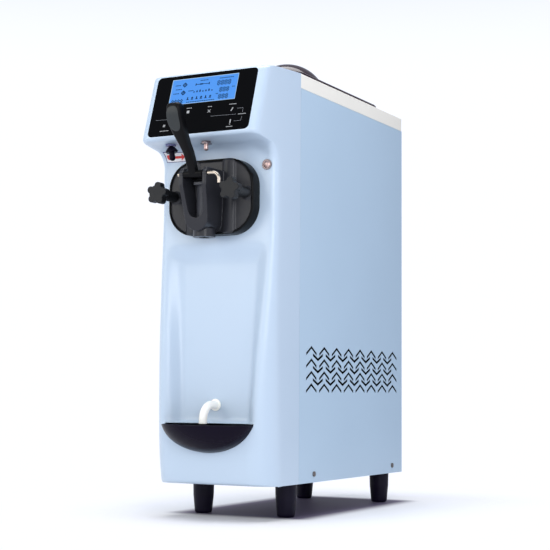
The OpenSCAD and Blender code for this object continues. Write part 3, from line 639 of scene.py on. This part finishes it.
def add_panel_marks():
    """The display's border and drawing, and the touch symbols printed on the glass."""
    left, low, right, high = LCD
    edge = [(left, low, right, low), (left, high, right, high),
            (left, low, left, high), (right, low, right, high)]
    border = [stroke(*line, 1.3) for line in edge]
    add_print("lcd_border", border, ON_SCREEN, -0.1, "lcd_edge")
    add_print("lcd_drawing", lcd_drawing(), ON_SCREEN, -0.14, "lcd_ink")
    bright = [rounded_outline(4.6, 4.6, 0.8, -23.4, 39.3, 3)]
    bright += [stroke(13.2, 34.8, 18.0, 39.6, 0.8), stroke(13.2, 39.6, 18.0, 34.8, 0.8)]
    bright += [stroke(55.8, 33.4, 58.6, 39.4, 1.6), stroke(57.8, 12.4, 57.8, 18.4, 1.8),
               stroke(57.8, 9.6, 57.8, 10.8, 1.8)]
    flake_x, flake_up, flake_r = -63.9, 18.2, 2.6
    for turn in (0, 60, 120):
        dx, dup = flake_r * math.cos(math.radians(turn)), flake_r * math.sin(math.radians(turn))
        bright.append(stroke(flake_x - dx, flake_up - dup, flake_x + dx, flake_up + dup, 0.8))
    for x, up, width, count in ((-27, 46, 10, 4), (12, 45, 8, 3), (51, 45.5, 13, 5),
                                (70, 26.5, 14, 6), (52, 6, 12, 5), (-70, 9, 17, 6)):
        bright += dashes(x, up, width, count, 1.1)
    add_print("panel_symbols", bright, 0.0, 0.12, "print_white")
    faint = [stroke(-81.4, 29.5, -30, 28.5, 0.4), stroke(20, 27.6, 66, 26.7, 0.4),
             stroke(66, 37, 77, 37, 0.4), stroke(77, 37, 77, 29, 0.4),
             stroke(64, 15, 77, 15, 0.4), stroke(77, 15, 77, 23, 0.4)]
    add_print("panel_lines", faint, 0.0, 0.1, "print_grey")


# ---------- front fascia ----------

# The front's profile: y of the chin, of the belly where it is furthest forward, and of the face
# round the door; then the console's lower and upper edges as (y, z)
BELLY_Z, BELLY_TOP = 150.0, 500.0
BELLY_Y, CHIN_Y, DOOR_Y = -108.0, -98.0, -84.0
LIP = (-152.2, 597.5)
BROW = (-116.5, 709.3)
COVE_START = 545.0
COVE_HALF, COVE_FADE = 62.0, 42.0  # how far aside the deep part of the cove goes, and its end
BROW_BLEND = 640.0  # from here up, the sides' rows turn toward the slope of the top
BELLY_CORNER, DOOR_CORNER, CONSOLE_CORNER = 36.0, 11.0, 13.0
CORNER_RISE = (120.0, 450.0)
WALL = 3.0
SIDE_STEPS, ARC_STEPS, FRONT_STEPS = 12, 10, 66
# The cup niche: each pair is a value at its floor and at its top
NICHE_Z, NICHE_HALF = (149.6, 434.0), (80.0, 95.5)
NICHE_BEVEL, NICHE_BACK = (19.0, 25.0), (-82.0, -72.5)
NICHE_ROUND, NICHE_KNEE = 22.0, 0.16
# The door round its axis, the tray round its hub, the middles of the drain and the button as
# (x, z), and the switches under the console
AXIS_Z = 507.0
DOOR_W, DOOR_H, DOOR_ROUND = 154.0, 120.0, 45.0
TRAY_RIM, TRAY_R, TRAY_HUB = 148.6, 95.2, 200.2
DRAIN, BUTTON = (0, 179.0), (90.0, 556.0)
SWITCH_Y, TOGGLE_X = -121.0, -66.0


def front_at(z):
    """Distance of the lower front from the seam: a chin, a belly and a long fade upward."""
    if z < BELLY_Z:
        return BELLY_Y + (CHIN_Y - BELLY_Y) * ((BELLY_Z - z) / (BELLY_Z - FOOT_H)) ** 2
    if z < BELLY_TOP:
        turn = math.pi * (z - BELLY_Z) / (BELLY_TOP - BELLY_Z)
        return BELLY_Y + (DOOR_Y - BELLY_Y) * (1 - math.cos(turn)) / 2
    return DOOR_Y


def corner_at(z):
    """Radius of the fascia's corners: wide at the belly, tight beside the door."""
    start, end = CORNER_RISE
    return mix(BELLY_CORNER, DOOR_CORNER, ease((z - start) / (end - start)))


def cove_row(t, radius, top):
    """Profile of the hollow under the console: up the door face, round and forward to the lip."""
    face, arc = 0.22, 0.72
    if t <= face:
        return DOOR_Y, mix(COVE_START, top - radius, t / face)
    if t <= arc:
        turn = math.pi / 2 * (t - face) / (arc - face)
        return DOOR_Y - radius + radius * math.cos(turn), top - radius + radius * math.sin(turn)
    along = (t - arc) / (1 - arc)
    return mix(DOOR_Y - radius, LIP[0] + 5.0, along), mix(top, LIP[1] - 2.5, along)


def fascia_profile():
    """Rows from the chin to the brow: (middle y, middle z, side y, side z, corner radius)."""
    rows = [(CHIN_Y + inset, FOOT_H, CHIN_Y + inset, FOOT_H, radius)
            for inset, radius in ((16, 22.0), (8, 29.0))]
    row_height, cove_rows, console_rows = 3.4, 32, 40
    count = int((COVE_START - FOOT_H) / row_height)
    for i in range(count + 1):
        z = mix(FOOT_H, COVE_START, i / count)
        rows.append((front_at(z), z, front_at(z), z, corner_at(z)))
    for i in range(1, cove_rows + 1):
        t = i / cove_rows
        rows.append((*cove_row(t, 13.0, 593.0), *cove_row(t, 30.0, 589.5),
                     mix(DOOR_CORNER, CONSOLE_CORNER, t)))
    lean = Vector((BROW[0] - LIP[0], BROW[1] - LIP[1]))
    for i in range(console_rows + 1):
        y, z = Vector(LIP) + lean * (i / console_rows)
        rows.append((y, z, y, z, CONSOLE_CORNER))
    return rows


def niche_depth(x, z):
    """How far the front is set back at a point, by the cup niche."""
    floor, top = NICHE_Z
    if not floor - 2 < z < top:
        return 0.0
    rise = (z - floor) / (top - floor)
    inside_x, inside_z = mix(*NICHE_HALF, rise) - abs(x), top - z
    if inside_x < NICHE_ROUND and inside_z < NICHE_ROUND:
        inside = NICHE_ROUND - math.hypot(NICHE_ROUND - inside_x, NICHE_ROUND - inside_z)
    else:
        inside = min(inside_x, inside_z)
    if inside <= 0:
        return 0.0
    full = mix(*NICHE_BACK, rise) - front_at(z)
    slope = inside / mix(*NICHE_BEVEL, rise)
    knee = NICHE_KNEE
    if slope < knee:
        share = slope * slope / (2 * knee)
    elif slope < 1 - knee:
        share = slope - knee / 2
    elif slope < 1 + knee:
        over = slope - (1 - knee)
        share = 1 - 1.5 * knee + over - over * over / (4 * knee)
    else:
        share = 1 - knee / 2
    return full * share / (1 - knee / 2)


def fascia_row(mid_y, mid_z, side_y, side_z, radius):
    """One row of points from the seam on the right, round the front, to the seam on the left."""
    right = []
    brow_share = ease((side_z - BROW_BLEND) / (BROW[1] - BROW_BLEND))
    for i in range(SIDE_STEPS):
        y = (side_y + radius) * i / SIDE_STEPS
        slope_z = DECK_Z + y * (DECK_Z - BROW[1]) / -BROW[0]
        right.append((HALF_W, y, mix(side_z, slope_z, brow_share)))
    for i in range(ARC_STEPS):
        turn = math.pi / 2 * i / ARC_STEPS
        right.append((HALF_W - radius + radius * math.cos(turn),
                      side_y + radius - radius * math.sin(turn), side_z))
    flat = HALF_W - radius
    middle = [(flat - 2 * flat * i / FRONT_STEPS, side_y, side_z) for i in range(FRONT_STEPS + 1)]
    row = right + middle + [(-x, y, z) for x, y, z in reversed(right)]
    shaped = []
    for x, y, z in row:
        inward = 1 - ease((abs(x) - COVE_HALF) / COVE_FADE)
        y += (mid_y - side_y) * inward
        z += (mid_z - side_z) * inward
        shaped.append((x, y + niche_depth(x, z), z))
    return shaped


def door_outline(grow, steps=10):
    """Outline of the freezer door, larger all round by grow."""
    return rounded_outline(DOOR_W + 2 * grow, DOOR_H + 2 * grow, DOOR_ROUND + grow, 0, AXIS_Z,
                           steps)


def add_fascia():
    """The moulded front: chin, belly, cup niche, cove and console in one shell."""
    rows = [fascia_row(*row) for row in fascia_profile()]
    points, faces = skin(rows, closed=False, capped=False)
    count = len(rows[0])
    edge = list(range(len(points) - count, len(points)))
    across = count - 2 * SIDE_STEPS - 1
    # The top: straight rows from the right edge to the left edge, from the seam to the corners
    ladders = []
    for j in range(SIDE_STEPS):
        right, left = edge[j], edge[count - 1 - j]
        x, y, z = points[right]
        start = len(points)
        for i in range(1, across):
            points.append((mix(x, -x, i / across), y, z))
        ladders.append([right, *range(start, start + across - 1), left])
    ladders.append(edge[SIDE_STEPS: count - SIDE_STEPS])
    for a, b in zip(ladders, ladders[1:]):
        faces += [(a[i], a[i + 1], b[i + 1], b[i]) for i in range(across)]
    mesh = bpy.data.meshes.new("fascia_shell")
    mesh.from_pydata([at(*p) for p in points], [], faces)
    bm = bmesh.new()
    bm.from_mesh(mesh)
    bmesh.ops.recalc_face_normals(bm, faces=bm.faces)
    inner = [v for v in bm.verts if not v.is_boundary]
    for _ in range(5):
        bmesh.ops.smooth_vert(bm, verts=inner, factor=0.5, use_axis_x=True, use_axis_y=True,
                              use_axis_z=True)
    bm.to_mesh(mesh)
    bm.free()
    fascia = add_piece("fascia_shell", mesh, "chassis", "shell_blue", hides=["front_fascia"])
    wall = fascia.modifiers.new("wall", "SOLIDIFY")
    wall.thickness = WALL * MM
    wall.offset = -1
    settle(fascia)
    middle = GLASS[1] / 2
    carve(fascia, joined([
        panel_slab(rounded_outline(GLASS[0] + 0.6, GLASS[1] + 0.6, 8, 0, middle), -2.1, 12),
        prism(door_outline(0.5), -115, DOOR_Y),
        prism(moon_outline(0.6, TRAY_RIM + 1.6), -135, DOOR_Y + 0.5),
    ]))
    carve(fascia, joined([
        panel_slab(rounded_outline(GLASS[0] - 14, GLASS[1] - 12, 4, 0, middle), -12, 1),
        prism(rounded_outline(DOOR_W - 7, DOOR_H - 8, DOOR_ROUND - 4, 0, AXIS_Z), -120, -70),
        prism(circle_outline(6.6, *DRAIN), -90, -60),
        prism(circle_outline(6.7, *BUTTON), -90, -70),
        *(post_of(6.1, x, SWITCH_Y, 580, 605) for x in (TOGGLE_X, 0)),
    ]))
    shade(fascia.data, 40)
    return fascia


def moon_half(radius, z):
    """Half width of the drip tray at a height: between an arc and half an ellipse."""
    arc = math.sqrt(max(0.0, radius ** 2 - (TRAY_HUB - z) ** 2))
    rim = math.sqrt(radius ** 2 - (TRAY_HUB - TRAY_RIM) ** 2)
    under_rim = (TRAY_RIM - z) / (TRAY_RIM - TRAY_HUB + radius)
    return mix(arc, rim * math.sqrt(max(0.0, 1 - under_rim ** 2)), 0.6)


def moon_outline(grow, top, steps=40):
    """Front outline of the drip tray: flat on top, a bowl below."""
    radius = TRAY_R + grow
    reach = math.acos((TRAY_HUB - top) / radius)
    turns = [mix(-reach, reach, i / steps) for i in range(steps + 1)]
    return [(math.copysign(moon_half(radius, TRAY_HUB - radius * math.cos(turn)), turn),
             TRAY_HUB - radius * math.cos(turn)) for turn in turns]


def add_tray_pocket():
    """The pocket of the fascia that holds the drip tray."""
    outer, inner = (moon_outline(grow, TRAY_RIM + 0.4) for grow in (3.4, 0.8))
    back, floor, mouth, centre_z, closed = -81.6, -84.0, -103.5, TRAY_RIM - 10, 0.02

    def ring(outline, y, size=1.0):
        return [(x * size, y, centre_z + (z - centre_z) * size) for x, z in outline]

    rings = [ring(outer, back, closed), ring(outer, back), ring(outer, mouth),
             ring(inner, mouth), ring(inner, floor), ring(inner, floor, closed)]
    add_piece("tray_pocket", mesh_of("tray_pocket", *skin(rings)), "chassis", "shell_blue")


# ---------- pieces in front of the fascia ----------

PIVOT = (-156.5, 536.7)  # of the handle, as (y, z)
# The handle's middle line from the pivot: forward, up, half thickness, half width
HANDLE_LINE = ((-1, -4, 5.2, 6.0), (0, 0, 6.0, 6.9), (13.1, 26.4, 7.5, 7.0), (24.4, 40.6, 8.0, 7.2),
               (40.9, 59.4, 8.9, 10.2), (50.6, 72.1, 9.8, 11.7), (56.3, 84.0, 9.6, 11.7),
               (56.8, 95.4, 9.5, 11.7))
GRIP_ROUND = 6.0
PAD_HALF, PAD_SPAN = 10.6, (0.62, 0.985)  # half its width, and where it lies along the line
TOE_R, TOE_HALF, TOE_LEAN = 15.68, 8.0, math.radians(-22.5)


def oval_ring(half, front, back, place, power=3.2, steps=36):
    """A rounded-square section; place turns its two coordinates into a point."""
    ring = []
    for i in range(steps):
        turn = 2 * math.pi * i / steps
        c, d = math.cos(turn), math.sin(turn)
        across = half * math.copysign(abs(c) ** (2 / power), c)
        depth = math.copysign(abs(d) ** (2 / power), d)
        ring.append(place(across, (front + back) / 2 + depth * (back - front) / 2))
    return ring


def handle_line(t):
    """The handle's middle line at t from 0 to 1: (forward, up, half thickness, half width)."""
    spans = len(HANDLE_LINE) - 1
    k = min(int(t * spans), spans - 1)
    p = [HANDLE_LINE[min(max(k + i, 0), spans)] for i in (-1, 0, 1, 2)]
    u = t * spans - k
    return [0.5 * (2 * b + (c - a) * u + (2 * a - 5 * b + 4 * c - d) * u * u
                   + (3 * b - 3 * c + d - a) * u ** 3) for a, b, c, d in zip(*p)]


def handle_face(t, step):
    """The direction out of the grip's front at t, as (y, z) with y counted forward."""
    ahead = Vector(handle_line(min(1, t + step))[:2]) - Vector(handle_line(max(0, t - step))[:2])
    return Vector((ahead.y, -ahead.x)).normalized()


def round_bar(profile, place):
    """A solid of circles: profile gives (place along the bar, radius) from end to end."""
    return skin([oval_ring(r, -r, r, lambda a, d, x=x: place(x, a, d), 2.0) for x, r in profile])


def toe_point(across, depth, along):
    """A point of the toe, which hangs behind the hub and works the plunger."""
    return (across, PIVOT[0] + depth * math.cos(TOE_LEAN) - along * math.sin(TOE_LEAN),
            PIVOT[1] + depth * math.sin(TOE_LEAN) + along * math.cos(TOE_LEAN))


def add_handle():
    """The draw handle: hub, bent arm, upright grip with a pad, and the toe behind the hub."""
    rings = []
    arm_steps, cap_steps, squareness = 70, 8, 4.5
    for i in range(arm_steps + 1):
        forward, rise, thick, half = handle_line(i / arm_steps)
        out = handle_face(i / arm_steps, 1 / arm_steps)
        rings.append(oval_ring(half, -thick, thick, lambda a, d, f=forward, z=rise, o=out: (
            a, PIVOT[0] - f + d * o.x, PIVOT[1] + z - d * o.y), squareness))
    forward, rise, thick, half = HANDLE_LINE[-1]
    for i in range(1, cap_steps + 1):
        turn = math.pi / 2 * i / cap_steps
        inset = GRIP_ROUND * (1 - math.cos(turn))
        z = PIVOT[1] + rise + GRIP_ROUND * math.sin(turn)
        rings.append(oval_ring(half - inset, inset - thick, thick - inset,
                               lambda a, d, z=z: (a, PIVOT[0] - forward + d, z), squareness))
    hub_ends = ((17.1, 5.4), (16.5, 6.2), (15.5, 6.4))
    hub = round_bar([(-x, r) for x, r in hub_ends] + list(reversed(hub_ends)),
                    lambda x, a, d: (x, PIVOT[0] + a, PIVOT[1] + d))
    toe = skin([oval_ring(TOE_HALF, -2.5, 2.5, lambda a, d, y=y: toe_point(a, y, d), 8)
                for y in (0.5, 15.0)])
    toe_end = round_bar(((-TOE_HALF, 2.8), (-7.4, 3.4), (7.4, 3.4), (TOE_HALF, 2.8)),
                        lambda x, a, d: toe_point(x, TOE_R + a, d))
    solids = joined((skin(rings), hub, toe, toe_end))
    add_piece("handle_body", mesh_of("handle_body", *solids), "handle", "grip_black",
              hides=["draw_handle"])
    pad = []
    pad_steps, sides, lift_out, lift_in = 32, 24, 0.55, -1.2
    for i in range(pad_steps + 1):
        place = -math.cos(math.pi * i / pad_steps)
        width = PAD_HALF * max(0.04, 1 - abs(place) ** 3) ** 0.5
        t = mix(*PAD_SPAN, (place + 1) / 2)
        forward, rise, thick, _ = handle_line(t)
        out = handle_face(t, 0.02)
        ring = []
        for k in range(sides):
            across = width * math.cos(2 * math.pi * k / sides)
            crown = (1 - (across / width) ** 4) * (1 - place ** 8)
            lift = thick + (lift_out if k < sides / 2 else lift_in) * crown
            ring.append((across, PIVOT[0] - forward - lift * out.x, PIVOT[1] + rise + lift * out.y))
        pad.append(ring)
    add_piece("grip_pad", mesh_of("grip_pad", *skin(pad)), "handle", "pad_grey")


def add_door_edge():
    """The glossy raised rim round the freezer door."""
    profile = ((0.25, DOOR_Y - 0.3), (0.25, -105.2), (-0.2, -106.5), (-1.0, -107.1),
               (-2.2, -107.1), (-3.0, -106.4), (-3.4, -103.6), (-1.0, -100.0))
    rings = [[(x, y, z) for x, z in door_outline(grow, 16)] for grow, y in profile]
    add_piece("door_edge", mesh_of("door_edge", *skin([*rings, rings[0]], capped=False)), "chassis",
              "edge_black")


def add_tray():
    """The drip tray: a half-moon bowl with a rounded rim."""
    half_wall, rim_round, steps, rim_steps = 1.25, 1.2, 26, 6
    rim = TRAY_RIM - rim_round

    def ring(radius, turn, inset):
        z = TRAY_HUB - radius * math.cos(turn)
        half = moon_half(radius, z)
        back, reach = -85.0 - inset, 46.0 * (half / 80) ** 1.1
        sides = [(half, mix(back, BELLY_Y, i / 6)) for i in range(6)]
        front = [(half * math.cos(a), BELLY_Y - reach * math.sin(a))
                 for a in (math.pi * i / 48 for i in range(49))]
        rear = [(mix(-half, half, i / 12), back) for i in range(1, 12)]
        return [(x, y, z) for x, y in sides + front + [(-x, y) for x, y in reversed(sides)] + rear]

    def rim_turn(radius, height):
        return math.acos((TRAY_HUB - height) / radius)

    inner_r, bottom = TRAY_R - 2 * half_wall, 0.03
    outside = rim_turn(TRAY_R, rim)
    rings = [ring(TRAY_R, mix(bottom, outside, i / steps), 0) for i in range(steps + 1)]
    for i in range(1, rim_steps):
        turn = math.pi * i / rim_steps
        inset = half_wall - half_wall * math.cos(turn)
        radius = TRAY_R - inset
        rings.append(ring(radius, rim_turn(radius, rim + rim_round * math.sin(turn)), inset))
    inside = rim_turn(inner_r, rim)
    rings += [ring(inner_r, mix(inside, bottom, i / steps), 2 * half_wall)
              for i in range(steps + 1)]
    add_piece("tray_bowl", mesh_of("tray_bowl", *skin(rings)), "tray", "tray_black",
              hides=["drip_tray"])


def add_lid():
    """The smoked lid: a rounded flange and a dome, one moulding of even thickness."""
    flange, low, dome_z, dome_r, wall = 730.0, DECK_Z + 0.3, 704.0, 71.0, 2.5
    width, length, corner, flange_y, dome_y = 182, 368, 45, 188, 154

    def plate(inset, z):
        outline = rounded_outline(width - 2 * inset, length - 2 * inset, corner - inset, 0, flange_y,
                                  14)
        return [(x, y, z) for x, y in outline]

    def disc(radius, z):
        return [(x, y, z) for x, y in rounded_outline(2 * radius, 2 * radius, radius, 0, dome_y, 14)]

    def cap(radius, top):
        start = math.asin((top - dome_z) / radius)
        turns = [mix(start, math.pi / 2 - 0.02, i / 22) for i in range(23)]
        return [disc(radius * math.cos(turn), dome_z + radius * math.sin(turn)) for turn in turns]

    inner = [plate(wall, low), plate(wall, flange - 5), plate(wall + 2, flange - wall)]
    inner += [disc(69, flange - wall)] + cap(dome_r - wall, flange - wall + 1.5)
    outer = [plate(0, low), plate(0, flange - 5), plate(0.7, flange - 2.2), plate(2.2, flange - 0.6),
             plate(4.2, flange), disc(70, flange), disc(67.6, flange + 0.6)]
    outer += cap(dome_r, flange + 2.2)
    add_piece("lid_dome", mesh_of("lid_dome", *skin(inner[::-1] + outer)), "lid", "smoked",
              hides=["hopper_lid"])


def add_vent_shade_sheets():
    """Dark sheets behind the chevrons of both sides and the louvres of the back: painted shade that
    stands for the dark inside of the machine.
    """
    gap, thick, corner = 0.3, 0.6, 4
    vents_y, vents_z, vents_long, vents_high = 210, 236, 390, 100
    louvres_wide, louvre_rows = 140, ((60, 155), (88, 375))
    inner_x = span("side_panel_right")[0].x - gap
    inner_y = span("back_panel")[0].y - gap
    outline = rounded_outline(vents_long, vents_high, corner, vents_y, vents_z, 3)
    shade_sheets = [skin([[(s * x, y, z) for y, z in outline] for x in (inner_x - thick, inner_x)])
               for s in (-1, 1)]
    shade_sheets += [prism(rounded_outline(louvres_wide, height, corner, 0, z, 3), inner_y - thick,
                      inner_y) for height, z in louvre_rows]
    add_piece("vent_shade_sheets", mesh_of("vent_shade_sheets", *joined(shade_sheets)), "chassis", "shade_black")


def add_label(fascia):
    """The direction label: a thin plate that follows the fascia, with an arrow, disc and border."""
    def lay(x, z, lift):
        """A point above the fascia's face, by so many millimetres."""
        _, spot, _, _ = fascia.ray_cast(at(x, -200, z), Vector((0, 1, 0)))
        return (x, (spot.y - SEAM_Y) / MM - lift, z)

    def strip(x0, z0, x1, z1, lift, thick, steps=24):
        """A thin plate in rows of blocks that follow the face."""
        rows = max(1, round(abs(z1 - z0) / 1.5))
        solids = []
        for k in range(rows):
            under, over = mix(z0, z1, k / rows), mix(z0, z1, (k + 1) / rows)
            corners = ((over, lift + thick), (under, lift + thick), (under, lift), (over, lift))
            solids.append(skin([[lay(mix(x0, x1, i / steps), *corner) for corner in corners]
                                for i in range(steps + 1)]))
        return joined(solids)

    left, right, low, high = -95.0, -50.0, 571.5, 587.0
    add_piece("label_sheet", mesh_of("label_sheet", *strip(left, low, right, high, 0.05, 0.3)),
              "chassis", "label_white", hides=["label_plate"])
    line = 0.9
    border = [strip(*edge, 0.4, 0.12, steps) for edge, steps in (
        ((left, low, right, low + line), 24), ((left, high - line, right, high), 24),
        ((left, low, left + line, high), 1), ((right - line, low, right, high), 1))]
    add_piece("label_border", mesh_of("label_border", *joined(border)), "chassis", "print_blue")
    middle = (low + high) / 2
    disc_x, disc_r, disc_row, disc_rows = -89.0, 3.6, 1.2, 6
    arrow_x, head_x, shaft_half, head_long, head_row, head_rows = -81, -68, 2.0, 7.0, 1.3, 8
    red = []
    for i in range(disc_rows):
        z = middle + (i - disc_rows // 2) * disc_row
        half = math.sqrt(disc_r ** 2 - (z + disc_row / 2 - middle) ** 2)
        red.append((disc_x - half, z, disc_x + half, z + disc_row, 6))
    red.append((arrow_x, middle - shaft_half, head_x, middle + shaft_half, 24))
    for i in range(head_rows):
        reach = head_long * (1 - abs(i - 3.5) / 4.2)
        z = middle + (i - head_rows // 2) * head_row
        red.append((head_x, z, head_x + reach, z + head_row, 4))
    print_red = [strip(*edges, 0.4, 0.14, steps) for *edges, steps in red]
    add_piece("label_red", mesh_of("label_red", *joined(print_red)), "chassis", "print_red")


def colour_frame():
    """Finishes and edge radii of the CAD nodes that show as they are."""
    plain = {
        "galvanised": ["base_tray", "frame_posts", "mid_shelf", "barrel_stand", "fan_shroud"],
        "stainless": ["hopper", "freezing_cylinder", "beater_shaft"],
        "bright_steel": ["foot_bolts", "door_studs", "knob_washer_left", "knob_washer_right"],
        "food_white": ["feed_tube", "beater", "scraper_blades"],
        "seal_red": ["door_gasket", "plunger_orings"],
        "copper": ["evaporator_coil", "filter_drier", "refrigerant_pipes"],
        "foam": ["insulation"],
        "board_green": ["control_board"],
        "cast_grey": ["gearbox", "drive_motor", "fan_motor"],
        "aluminium": ["gearbox_pulley", "motor_pulley", "condenser"],
        "compressor_black": ["compressor"],
        "fan_plastic": ["fan"],
        "rubber_black": ["shaft_seal", "drive_belt", "compressor_grommets", "power_inlet"],
        "door_black": ["nozzle_cap"],
        "panel_blue": ["side_panel_left", "side_panel_right", "back_panel"],
        "deck_white": ["top_deck"],
        "panel_glass": ["control_glass"],
        "lcd_blue": ["lcd_screen"],
    }
    for finish, nodes in plain.items():
        for node in nodes:
            paint(node, finish)
    for node, finish in (("button_ring", "dark_steel"), ("panel_screws", "screw_steel"),
                         ("plunger_switch_pin", "rose_steel"), ("plunger_switch_body", "dark_steel"),
                         ("push_button", "rose_steel"), ("pivot_pin", "pin_steel")):
        paint(node, finish)
    paint("toggle_bush", "lilac")
    soften("top_deck", 1.6)
    mould("freezer_door", 1.0, 3, "door_black")
    mould("valve_plunger", 0.7, 3, "plunger_grey")
    mould("star_knob_left", 0.6, 6, "knob_black")
    mould("star_knob_right", 0.6, 6, "knob_black")
    mould("feet", 0.9, 4, "foot_black")
    mould("toggle_lever", 0.4, 4, "tray_black")
    mould("drain_elbow", 0.5, 3, "pipe_white")


add_camera()
add_studio()
add_floor()
bpy.context.scene.view_settings.view_transform = "Standard"
MATERIALS = make_materials()
colour_frame()
add_label(add_fascia())
add_tray_pocket()
add_panel_marks()
add_vent_shade_sheets()
add_handle()
add_door_edge()
add_tray()
add_lid()
